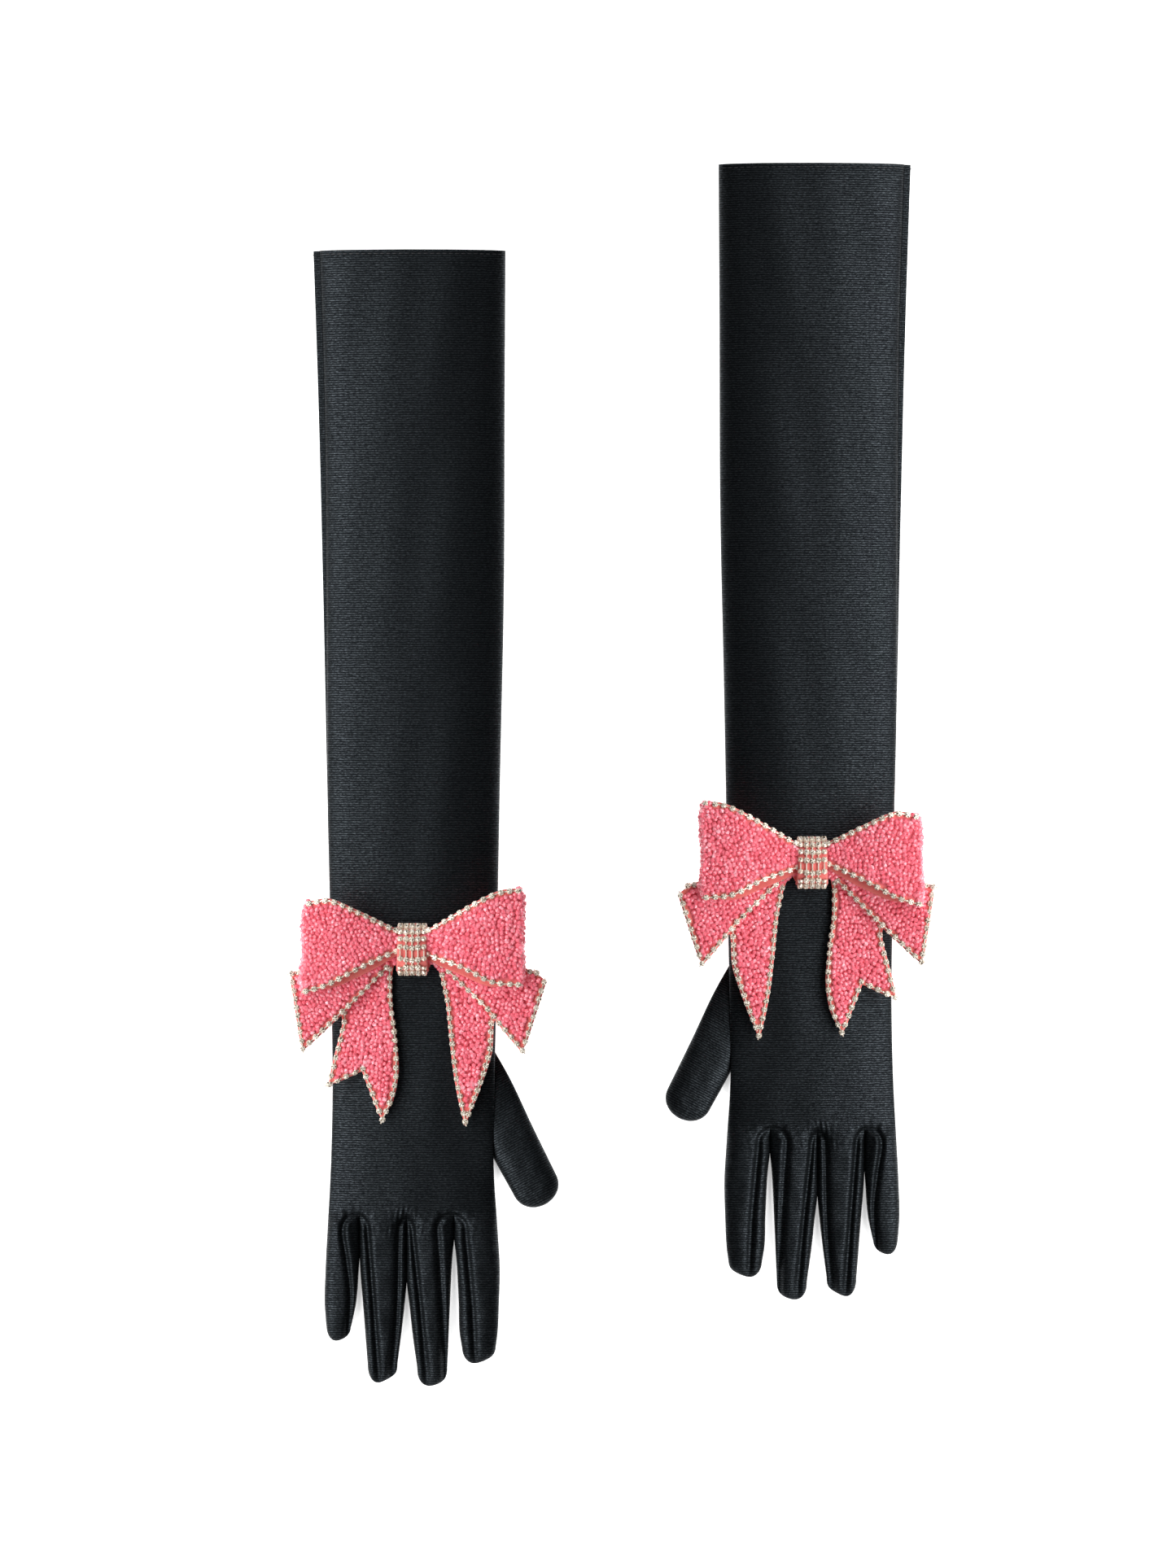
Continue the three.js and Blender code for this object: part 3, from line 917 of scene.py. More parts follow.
def wrapped(flat: Array, upper: Array, lower: Array) -> Array:
    """Rings of points that run over a tube's upper face and back under it.

    Args:
        flat: Places across and along, rows by columns by two.
        upper: The height of the upper face at each of them.
        lower: The height of the lower face.

    Returns:
        The points, each side fold only once.
    """
    over = np.concatenate([flat, upper[..., None]], axis=-1)
    under = np.concatenate([flat, lower[..., None]], axis=-1)[:, ::-1]
    return np.concatenate([over[:, :-1], under[:, :-1]], axis=1)


@dataclass
class GloveCloth:
    """The satin of one glove: sleeve and hand, four fingers, thumb and hem.

    Attributes:
        place: Where the glove lies.
        satin: The cloth's material.
        columns: Points across one finger, on one face.
        length: From the fork line to the cuff's edge.
        fork_line: Where the finger pieces start.
        rest: Height of the cloth's lowest points.
        fold_height: Height of the side folds.
        finger_middle: Height of the fingers' sides.
        groove: Depth of the seams on the back.
        groove_width: Half width of those seams.
        tip_round: How far the rounding of a fingertip reaches.
        fold: Where the sleeve folds over.
        hem: Depth of the turned-in hem.
        hem_line: How far its stitches lie from the cuff's edge.
        wall: Thickness of the hemmed edge.
        top_line: Where the sleeve is highest, from -1 at its outer side to 1 at the thumb's side.
        thumb_root: Where the thumb's spine starts.
        thumb_ahead: Its direction.
        thumb_length: Its length.
        thumb_round: How far the rounding of its tip reaches.
    """

    place: Placement
    satin: Material
    columns: int = 56
    length: float = 474.4
    fork_line: float = -4.0
    rest: float = 0.15
    fold_height: float = 2.6
    finger_middle: float = 3.4
    groove: float = 2.0
    groove_width: float = 1.4
    tip_round: float = 9.0
    fold: float = 330.0
    hem: float = 9.0
    hem_line: float = 2.0
    wall: float = 0.9
    top_line: float = 0.12
    thumb_root: tuple = (29.8, 73.5)
    thumb_ahead: tuple = (0.4617, -0.887)
    thumb_length: float = 76.0
    thumb_round: float = 10.5

    def spread(self) -> Array:
        """Places across one strip, from -1 up to 1, closer together towards its sides."""
        return -np.cos(np.pi * np.arange(self.columns) / self.columns)

    def across(self, left: Array, right: Array) -> Array:
        """Places across a strip.

        Args:
            left: The strip's left edge, one value a row.
            right: Its right edge.

        Returns:
            Rows by columns, without the right edge itself.
        """
        return left[:, None] + (right - left)[:, None] * (1 + self.spread()) / 2

    def boundaries(self, y: Array) -> Array:
        """The five lines that the fingers' edges continue up the sleeve."""
        left, right = eased(LEFT_EDGE, y), eased(RIGHT_EDGE, y)
        at_fork = np.array([f.left[0][1] for f in FINGERS] + [FINGERS[-1].right[0][1]])
        share = (at_fork - at_fork[0]) / (at_fork[-1] - at_fork[0])
        return left[:, None] + (right - left)[:, None] * share

    def seam_relief(self, x: Array, y: Array, face: int) -> Array:
        """How far the finger seams raise or sink the cloth.

        Args:
            x: Places across.
            y: Places along.
            face: 1 for the back of the hand, -1 for the palm.

        Returns:
            Heights, outwards.
        """
        total = np.zeros(x.shape)
        strength = 1.0 if face > 0 else 0.45
        for number, fork in enumerate(FORKS):
            d = fork.distance(x, y)
            rolled_band = 0.45 * bump(d + 3.0, 2.6)
            total += rolled_band - self.groove * bump(d, self.groove_width)
            near = smooth(9.0, 3.0, np.abs(d)) * smooth(8.0, 2.0, y)
            top = smooth(-14, -4, y) * near
            total += 0.30 * top * ripple(x, y, 40 + number, 3.2) * smooth(-1, 1.5, np.abs(d))
            hollow = 0.9 * bump(d + 3.4, 2.0)
            total -= hollow * smooth(-8, -3, y) * smooth(3, -1, y)
        return strength * total

    def seam_fade(self, x: Array, v: Array, y: Array) -> Array:
        """How fully the seams show: not at the hand's own sides, nor where two fingers part."""
        sides = np.minimum(x - eased(LEFT_EDGE, y), eased(RIGHT_EDGE, y) - x)
        return smooth(0.0, 2.0, sides) * (1 - smooth(4.0, self.fork_line, y) * np.abs(v) ** 12)

    def hand_heights(self, x: Array, y: Array) -> tuple[Array, Array]:
        """The upper and the lower face of the sleeve and hand.

        Args:
            x: Places across, rows by columns.
            y: Places along, of the same shape.

        Returns:
            The height of each face.
        """
        left, right = eased(LEFT_EDGE, y), eased(RIGHT_EDGE, y)
        lip_width, lip_height = 3.2, 1.2
        lip = lip_width * smooth(170, 440, y) + 0.001
        over_thumb = 4.2 * smooth(90, 70, y) * smooth(12, 32, y)
        u = np.clip(2 * (x - left) / (right - left) - 1, -1, 1)
        side = self.fold_height + over_thumb * smooth(0.2, 1.0, u)
        lifted = left + lip
        v = np.clip(2 * (x - lifted) / (right - lifted) - 1, -1, 1)
        reach = np.where(v < self.top_line, 1 + self.top_line, 1 - self.top_line)
        dome = np.sqrt(np.clip(1 - (np.abs(v - self.top_line) / reach) ** 2, 0, 1))
        body = side + (eased(CROWN, y) - side) * dome
        waves = ripple(x, y * 0.35, 5, 34.0) + 0.5 * ripple(x, y, 6, 21.0) * smooth(150, 60, y)
        body += 0.28 * dome * waves
        lip_face = lip_height + 0.7 * rounded(u, 8)
        in_lip = smooth(0.0, 1.0, (lifted - x) / 0.35 + 0.5)
        upper = np.where(lip > 0.1, body * (1 - in_lip) + lip_face * in_lip, body)
        foot = np.where((lip > 0.1) & (u < 0), lip_height, side)
        return upper, self.rest + (foot - self.rest) * (1 - rounded(u, 7))

    def finger_heights(self, v: Array, y: Array, tip: float) -> tuple[Array, Array]:
        """The upper and the lower face of a finger.

        Args:
            v: Places across the finger, from -1 to 1.
            y: Places along.
            tip: Where the finger ends.

        Returns:
            The height of each face.
        """
        towards = np.clip((self.fork_line - y) / (self.fork_line - tip), 0, 1)
        crown = 9.0 - 2.0 * towards
        upper = self.finger_middle + (crown - self.finger_middle) * rounded(v, 2.3)
        return upper, self.finger_middle - (self.finger_middle - self.rest) * rounded(v, 3.2)

    def cloth_heights(
        self, x: Array, v: Array, y: Array, tip: float
    ) -> tuple[Array, Array]:
        """Both faces where the hand runs over into a finger.

        Args:
            x: Places across.
            v: The same places across the finger, from -1 to 1.
            y: Places along.
            tip: Where the finger ends.

        Returns:
            The height of each face.
        """
        parted = smooth(4.0, self.fork_line, y)
        pairs = zip(self.hand_heights(x, y), self.finger_heights(v, y, tip))
        upper, lower = (hand + (finger - hand) * parted for hand, finger in pairs)
        return upper, lower

    def hand_rings(self, y: Array) -> tuple[Array, Array]:
        """Rings of points round the sleeve and hand.

        Args:
            y: The place of each ring.

        Returns:
            The points and their UV.
        """
        lines, count, usual_tip = self.boundaries(y), len(FINGERS), -75.0
        strips = [self.across(lines[:, k], lines[:, k + 1]) for k in range(count)]
        x = np.concatenate([*strips, lines[:, count:]], axis=1)
        v = np.broadcast_to(np.append(np.tile(self.spread(), count), 1.0), x.shape)
        rows = np.broadcast_to(y[:, None], x.shape)
        upper, lower = self.cloth_heights(x, v, rows, usual_tip)
        fade = self.seam_fade(x, v, rows)
        upper = upper + self.seam_relief(x, rows, 1) * fade
        lower = np.maximum(lower - self.seam_relief(x, rows, -1) * fade, self.rest * 0.5)
        points = wrapped(np.stack([x, rows], axis=-1), upper, lower)
        return points, points[..., :2] / 10

    def lining(self) -> tuple[Array, Array]:
        """Rings that turn the cuff's edge inwards and line the sleeve, deepest first."""
        depths = np.array(LINING_DEPTHS)
        points, uv = self.hand_rings(self.length - depths)
        x = points[..., 0]
        middle = (x.min(axis=1, keepdims=True) + x.max(axis=1, keepdims=True)) / 2
        width = np.ptp(x, axis=1, keepdims=True) / 2
        mirror = -np.arange(points.shape[1]) % points.shape[1]
        level = (points[..., 2] + points[:, mirror, 2]) / 2
        layers = np.where(depths <= self.hem, 1.6, 1.0)[:, None]
        hem = layers * self.wall * smooth(0.0, 0.7, depths)[:, None]
        flatten = smooth(75.0, 10.0, depths)[:, None]
        half = points[..., 2] - level
        shrink = np.clip(1 - hem / np.maximum(np.abs(half), 1e-6), 0.02, 1) * flatten
        shrink = np.where(np.abs(half) < 1e-6, 0.0, shrink)
        points[..., 0] = middle + (x - middle) * (1 - (hem + 0.3) / width)
        points[..., 2] = level + half * shrink
        return points, uv

    def join(self, piece: Object, body: str, start: tuple, end: tuple) -> None:
        """Bakes a piece's transform into its mesh; the body and the two points given are worked out but not
        used.
        """
        line = self.place.to_table(np.array([start, end]))
        self.place.name("hand")
        self.place.name(body)
        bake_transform(piece)

    def sleeve_and_hand(self) -> Object:
        """The sleeve and the hand as one tube, open at the cuff."""
        inner, inner_uv = self.lining()
        runs = (
            self.length - np.array(HEM_DEPTHS),
            np.arange(456.0, self.fold + 18, -4.0),
            np.arange(self.fold + 17, self.fold - 18, -2.0),
            np.arange(self.fold - 21, 44.0, -4.0),
            np.arange(42.0, 10.0, -2.0),
            np.arange(9.0, self.fork_line - 0.5, -1.0),
            [self.fork_line, self.fork_line - 1.0],
        )
        levels = np.unique(np.concatenate(runs))[::-1]
        outer, outer_uv = self.hand_rings(levels)
        self.press_hem(outer, levels)
        points, uv = np.concatenate([inner, outer]), np.concatenate([inner_uv, outer_uv])
        cloth = ClothGrid(points, uv, spare_last=True, close_first=True)
        piece = cloth.build(self.place.name("sleeve_and_hand_satin"), self.place, self.satin)
        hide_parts(*self.place.names(("upper_sleeve", "cuff_hem", "hand_and_forearm")))
        reach, height = 14, 13.2
        self.join(piece, "upper_sleeve", (0.0, self.fold - reach, height), (0.0, self.fold + reach, height))
        return piece

    def press_hem(self, points: Array, levels: Array) -> None:
        """Rounds the cuff's edge and sinks the hem's stitch line a little."""
        down = self.length - levels
        offset = points[..., 2] - points[..., 2].mean(axis=1, keepdims=True)
        groove = 0.35 * bump(down - self.hem_line, 0.6) + 0.18 * bump(down - self.hem, 0.7)
        groove += 0.35 * smooth(0.9, 0.0, down)
        points[..., 2] -= np.sign(offset) * groove[:, None] * (np.abs(offset) > 1)
        np.maximum(points[..., 2], self.rest * 0.5, out=points[..., 2])

    def finger(self, finger: Finger) -> Object:
        """One finger, with its seams, down to its rounded tip."""
        tip = -finger.length
        straight = np.arange(self.fork_line + 1.0, tip + self.tip_round, -1.0)
        swing = np.linspace(0, math.pi / 2, 13)
        ending = tip + self.tip_round * (1 - np.sin(swing))
        y = np.concatenate([straight[straight > ending[0] + 0.3], ending])
        y[-1] = tip
        share = np.clip((tip + self.tip_round - y) / self.tip_round, 0, 1)
        narrow, flat = ended(share, 2.7, 0.46), ended(share, 2.4, 0.5)
        left, right = eased(finger.left, y), eased(finger.right, y)
        middle, half = ((left + right) / 2)[:, None], ((right - left) / 2)[:, None]
        v = np.append(self.spread(), 1.0)
        x = middle + half * v * narrow
        wide = np.broadcast_to(v, x.shape)
        along = np.broadcast_to(y[:, None], x.shape)
        upper, lower = self.cloth_heights(x, wide, along, tip)
        edge = (1 - np.abs(v) ** 12) * smooth(self.fork_line, -18.0, along)
        fade = self.seam_fade(x, wide, along) * smooth(0.0, 0.35, narrow)
        upper = upper + self.seam_relief(x, along, 1) * fade
        lower = lower - self.seam_relief(x, along, -1) * fade
        upper = upper + 0.22 * ripple(x, along, 17 + FINGERS.index(finger), 13.0) * edge
        centre = self.finger_middle + 0.6 * (1 - flat)
        upper = centre + (upper - centre) * flat
        lower = np.maximum(centre + (lower - centre) * flat, self.rest)
        bent = along + finger.slant * 2.4 * v * narrow * (1 - narrow**2)
        points = wrapped(np.stack([x, bent], axis=-1), upper, lower)
        around = np.concatenate([v[:-1], v[:0:-1]]) * half[0, 0] / 10 + middle / 10
        uv = np.stack([around, points[..., 1] / 10], axis=-1)
        cloth = ClothGrid(points, uv, spare_first=True, close_last=True)
        piece = cloth.build(self.place.name(f"{finger.name}_satin"), self.place, self.satin)
        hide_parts(*self.place.names((finger.name, *finger.gussets)))
        x0, height = float(middle[0, 0]), 9.3
        start, end = (x0, self.fork_line - 0.5, height), (x0, self.fork_line - 20, height)
        self.join(piece, finger.name, start, end)
        return piece

    def thumb(self) -> Object:
        """The thumb, which comes out from under the hand's edge."""
        ahead = np.array(self.thumb_ahead)
        aside = np.array([-ahead[1], ahead[0]])
        straight_end = self.thumb_length - self.thumb_round
        swing = np.linspace(0, math.pi / 2, 15)
        ending = self.thumb_length - self.thumb_round * (1 - np.sin(swing))
        s = np.concatenate([np.arange(-4.0, straight_end - 0.5, 1.5), ending])
        narrow = ended(np.clip((s - straight_end) / self.thumb_round, 0, 1), 2.2, 0.5)
        half, crown = eased(THUMB_WIDTHS, s)[:, None], eased(THUMB_CROWN, s)[:, None]
        v = np.append(self.spread(), 1.0)
        across = half * v * narrow
        middle = 2.9
        upper = middle + (crown - middle) * rounded(v, 2.4) * narrow
        lower = middle - (middle - self.rest) * rounded(v, 3.5) * narrow
        along = np.broadcast_to(s[:, None], across.shape)
        edge = 1 - np.abs(v) ** 10
        upper = upper + 0.16 * ripple(across, along, 71, 14.0) * edge * narrow
        seam = 0.35 * bump(across - 0.3 * half, 0.8) * edge * narrow
        lower = np.maximum(lower + seam, self.rest * 0.7)
        spine = np.array(self.thumb_root) + s[:, None] * ahead
        points = wrapped(spine[:, None, :] + across[..., None] * aside, upper, lower)
        wide = np.concatenate([across[:, :-1], across[:, :0:-1]], axis=1)
        uv = np.stack([wide / 10 + 20, np.broadcast_to(-s[:, None] / 10, wide.shape)], axis=-1)
        cloth = ClothGrid(points, uv, close_first=True, close_last=True)
        piece = cloth.build(self.place.name("thumb_satin"), self.place, self.satin)
        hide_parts(self.place.name("thumb"))
        self.join(piece, "thumb", (38.0, 52.0, 8.7), (52.0, 52.0, 8.7))
        return piece

    def hem_stitches(
        self, copies: NodeTree, shape: Object, thread: Material
    ) -> None:
        """Sews the row of stitches that holds the cuff's hem, on both faces.

        Args:
            copies: The tree that sets shapes at points.
            shape: One stitch.
            thread: Its material.
        """
        level, spacing, sunk = self.length - self.hem_line, 3.1, -0.12
        points, _ = self.hand_rings(np.array([level, level - 0.5]))
        rim = points[0]
        half = len(rim) // 2
        faces = []
        for part, sign in ((rim[6 : half - 4], 1.0), (rim[half + 6 : -6], -1.0)):
            up = np.tile([0.0, 0.0, sign], (len(part), 1))
            up[:, 0] = -np.gradient(part[:, 2]) / np.gradient(part[:, 0]) * sign
            faces.append(Stations.along(part + unit(up) * sunk, up, spacing))
        thing = Stations.together(faces).carrier(self.place.name("hem_stitches"), self.place)
        copies.apply(thing, {"Shape": shape, "Finish": thread, "Seed": 3})
        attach(thing, self.place.name("upper_sleeve"))

    def build(self) -> None:
        """Makes every cloth piece of the glove."""
        for piece in (self.sleeve_and_hand(), self.thumb(), *(self.finger(f) for f in FINGERS)):
            LOG.info("%s: %d faces", piece.name, len(piece.data.polygons))


# ---- The bow


@dataclass(frozen=True)
class Panel:
    """A flat panel of the bow, from the knot outwards. Places are from the knot's middle.

    Attributes:
        name: The panel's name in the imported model.
        inner: The side that runs nearer to the other half of the bow.
        outer: The side that runs away from it.
        end: The far edge, from the inner side to the outer side.
        chained: The run of edges that carries the cup chain.
        neck_height: Height of the upper face at the knot, above the bow's seat.
        end_height: Height of the upper face at the far edge.
        crown: How much the panel's middle stands above its sides.
        curl: How much its sides wave.
    """

    name: str
    inner: tuple
    outer: tuple
    end: tuple
    chained: tuple
    neck_height: float
    end_height: float
    crown: float
    curl: float

    def reach(self) -> float:
        """How far the panel reaches from the knot."""
        return float(np.linalg.norm(np.array(self.end), axis=1).max())

    def height(self, x: Array, y: Array) -> Array:
        """The height of the upper face, above the bow's seat."""
        out = np.hypot(x, y) / self.reach()
        rise = self.neck_height + (self.end_height - self.neck_height) * smooth(0.1, 0.95, out)
        bearing = np.arctan2(y, np.abs(x) + 1e-6)
        wave = self.curl * np.sin(out * 4.2 + bearing * 3.0)
        return rise + wave + self.crown * np.sin(np.pi * np.clip(out, 0, 1))

    def grid(self, rows: int, columns: int) -> Array:
        """The upper face as a grid of points between the four edges."""
        inner, outer = resampled(self.inner, rows, True), resampled(self.outer, rows, True)
        end = resampled(self.end, columns, False)
        s = np.linspace(0, 1, rows)[:, None, None]
        t = np.linspace(0, 1, columns)[None, :, None]
        sides = (1 - t) * inner[:, None] + t * outer[:, None]
        straight = (1 - t[0]) * inner[-1] + t[0] * outer[-1]
        flat = sides + s**3 * (end - straight)[None]
        tips, bluntness = smooth(0.86, 1.0, s) * smooth(0.72, 1.0, np.abs(2 * t - 1)), 1.5
        flat = flat + tips * bluntness * unit(flat.mean(axis=(0, 1)) - flat)
        return np.concatenate([flat, self.height(flat[..., 0], flat[..., 1])[..., None]], axis=-1)

    def trim_runs(self, inset: float) -> list[tuple[Array, Array]]:
        """The cup chain's paths on the panel, one from each sharp corner to the next.

        Args:
            inset: How far inside the edge the chain runs.

        Returns:
            For each path, its points and the surface's normals.
        """
        corners = np.array(self.chained, float)
        inward = offset_path(corners, inset if self.turns_left() else -inset)
        steps = unit(np.diff(corners, axis=0))
        straight, fine = 0.8, 90
        sharp = [i + 1 for i in range(len(steps) - 1) if float(steps[i] @ steps[i + 1]) < straight]
        ends = [0, *sharp, len(corners) - 1]
        return [self.on_face(resampled(inward[a : b + 1], fine, False)) for a, b in zip(ends, ends[1:])]

    def on_face(self, flat: Array) -> tuple[Array, Array]:
        """Points of the plan raised to the upper face, with the face's normals."""
        x, y = flat[:, 0], flat[:, 1]
        step = 0.5
        slope_x = (self.height(x + step, y) - self.height(x - step, y)) / (2 * step)
        slope_y = (self.height(x, y + step) - self.height(x, y - step)) / (2 * step)
        normal = np.stack([-slope_x, -slope_y, np.ones_like(x)], axis=1)
        return np.column_stack([flat, self.height(x, y)]), unit(normal)

    def turns_left(self) -> bool:
        """Whether the panel lies to the left of its chained run."""
        knot_end = (self.inner[0][0], 2.0)
        x, y = np.array([*self.chained, knot_end], float).T
        return float((x * np.roll(y, -1) - np.roll(x, -1) * y).sum()) > 0


@dataclass(frozen=True)
class Loop:
    """An upper loop of the bow: a ribbon that runs out, folds over and comes back.

    Attributes:
        name: The loop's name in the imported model.
        top: Its top edge from the knot outwards.
        bottom: Its bottom edge from the knot outwards.
        side: 1 where it points along +X, -1 where it points the other way.
        neck_height: Height of the front at the knot, above the bow's seat.
        slope: Height of the front a third of the way out.
        belly: Height of the front at its fullest.
        fold_height: Height of the front at the fold.
        back_height: Height of the back face.
        back_drop: How far the back's lower edge hangs below the front's.
        tuck: How far the fold stands in from the ends of the two edges.
        front_rows: Rows of points on the front.
        fold_rows: Rows of points round the fold.
        back_rows: Rows of points on the back.
    """

    name: str
    top: tuple
    bottom: tuple
    side: int
    neck_height: float = 12.6
    slope: float = 16.4
    belly: float = 18.6
    fold_height: float = 17.6
    back_height: float = 10.2
    back_drop: float = 3.4
    tuck: float = 2.6
    front_rows: int = 44
    fold_rows: int = 12
    back_rows: int = 26

    def front(self, s: Array, t: Array) -> Array:
        """Points of the puffed front face.

        Args:
            s: From 0 at the knot to 1 at the fold.
            t: From 0 at the bottom edge to 1 at the top edge.

        Returns:
            Points, above the bow's seat.
        """
        fine = 200
        at = np.linspace(0, 1, fine)
        edges = (resampled(edge, fine, True) for edge in (self.top, self.bottom))
        upper, lower = (np.stack([np.interp(s, at, c) for c in edge.T], axis=-1) for edge in edges)
        flat = lower + (upper - lower) * t[..., None]
        flat[..., 0] -= self.side * self.tuck * smooth(0.4, 1.0, s)
        levels = ((0, self.neck_height), (0.35, self.slope), (0.7, self.belly), (1.0, self.fold_height))
        rise = eased(levels, s)
        puff = 1.7 * np.sin(np.pi * np.clip(s, 0, 1)) ** 0.8 * (1 - (2 * t - 1) ** 2)
        wave = 0.5 * np.sin(5.0 * s + 4.0 * t) * s * (1 - s) * 4
        return np.concatenate([flat, (rise + puff + wave - 0.6)[..., None]], axis=-1)

    def grid(self, columns: int) -> Array:
        """The whole ribbon as a grid: front, fold and back."""
        t = np.linspace(0, 1, columns)
        s = np.linspace(0, 1, self.front_rows)
        front = self.front(*np.meshgrid(s, t, indexing="ij"))
        radius = (self.fold_height - self.back_height) / 2
        turn = np.linspace(0, np.pi, self.fold_rows + 1)[1:, None]
        edge = front[-1]
        bulge = radius * 0.45 + 0.5 * np.sin(t * 8.0 + 1.0) - 1.6 * np.abs(2 * t - 1) ** 6
        fold = np.repeat(edge[None], self.fold_rows, axis=0)
        fold[..., 0] += self.side * bulge * np.sin(turn)
        fold[..., 2] = edge[:, 2] - (edge[:, 2] - self.back_height) * (1 - np.cos(turn)) / 2
        along = np.linspace(1, 0, self.back_rows + 1)[1:, None]
        back = self.front(*np.meshgrid(along[:, 0], t, indexing="ij"))
        drop = self.back_drop * np.sin(np.pi * np.clip(along * 1.15, 0, 1)) ** 0.8
        back[..., 1] -= drop * (1 - t)
        back[..., 2] = self.back_height
        return np.concatenate([front, fold, back])

    def trim_path(self, inset: float, top: bool) -> tuple[Array, Array]:
        """The cup chain's path along one edge of the front, and the normal along it."""
        s = np.linspace(0.12, 1.0, 90)
        wide = self.front(s, np.ones_like(s)) - self.front(s, np.zeros_like(s))
        share = inset / np.linalg.norm(wide, axis=1)
        t = 1 - share if top else share
        path = self.front(s, t)
        along = self.front(np.minimum(s + 0.01, 1), t) - self.front(s - 0.01, t)
        across = self.front(s, t + 0.02) - self.front(s, t - 0.02)
        return path, unit(np.cross(along, across) * self.side)


TAILS = (
    Panel(
        "bow_outer_tail",
        ((-2, 3), (-9.4, -8), (-10.2, -26), (-7.2, -53), (-7.4, -63), (-9.4, -73), (-14.8, -85)),
        ((-8, 3), (-24, -11), (-34.5, -26), (-34.2, -36.6), (-37.6, -50.2), (-42, -67.4)),
        ((-14.8, -85), (-24.8, -59.4), (-42, -67.4)),
        ((-10.4, -9.4), (-10.2, -26), (-8.2, -40), (-7.2, -53), (-7.4, -63), (-9.4, -73), (-14.8, -85),
         (-24.8, -59.4), (-42, -67.4), (-37.6, -50.2), (-34.2, -36.6), (-34.3, -31)),
        3.0, 3.4, 0.8, 0.3,
    ),
    Panel(
        "bow_inner_tail",
        ((2, 3), (10, -6), (13.6, -12.6), (16.6, -27), (18.6, -47), (20.8, -64.5), (24.9, -85.6)),
        ((7, 3), (26, -9), (39.4, -27), (39.2, -38.6), (38.6, -50), (35.6, -60.2), (26.3, -86.0)),
        ((24.9, -85.6), (26.3, -86.0)),
        ((13.6, -12.6), (16.6, -27), (18.6, -47), (20.8, -64.5), (25.6, -86.2), (31.6, -71.4),
         (35.6, -60.2), (38.6, -50), (39.2, -38.6), (39.4, -32)),
        3.0, 3.6, 0.8, 0.3,
    ),
)
WINGS = (
    Panel(
        "bow_outer_wing",
        ((-1.5, -4), (-12, -9.4), (-29.2, -26.6), (-54, -50.2)),
        ((-1.5, 4), (-9, 3.4), (-34, -5), (-60, -11)),
        ((-54, -50.2), (-60, -11)),
        ((-48, -9.0), (-60, -11), (-54, -50.2), (-29.2, -26.6), (-12, -9.4)),
        6.4, 8.2, 1.0, 0.5,
    ),
    Panel(
        "bow_inner_wing",
        ((1.5, -4), (16.8, -9.8), (36, -29.4), (54, -51)),
        ((1.5, 4), (9, 3.4), (36, -4), (61.2, -10.6)),
        ((54, -51), (65.2, -15.8), (61.2, -10.6)),
        ((14.0, -8.2), (36, -29.4), (54, -51), (65.2, -15.8), (61.2, -10.6), (50, -8.4)),
        6.4, 8.2, 1.0, 0.5,
    ),
)
LOOPS = (
    Loop(
        "bow_outer_loop",
        ((-1.5, 9.0), (-8.8, 10.4), (-26, 18.6), (-42, 24.6), (-52.6, 23.4)),
        ((-1.5, 0.5), (-8.8, -1.6), (-25, -9), (-42, -17.2), (-54.4, -21)),
        -1,
    ),
    Loop(
        "bow_inner_loop",
        ((1.5, 9.0), (8.8, 10.4), (28, 21.4), (44, 28.4), (54.4, 29.8)),
        ((1.5, 0.5), (8.8, -3.4), (24, -8.8), (40.4, -16.2), (54.4, -17.8)),
        1,
    ),
)


@dataclass(frozen=True)
class BowFinishes:
    """The materials of a bow."""

    felt: Material
    beads: Material
    metal: Material
    stone: Material


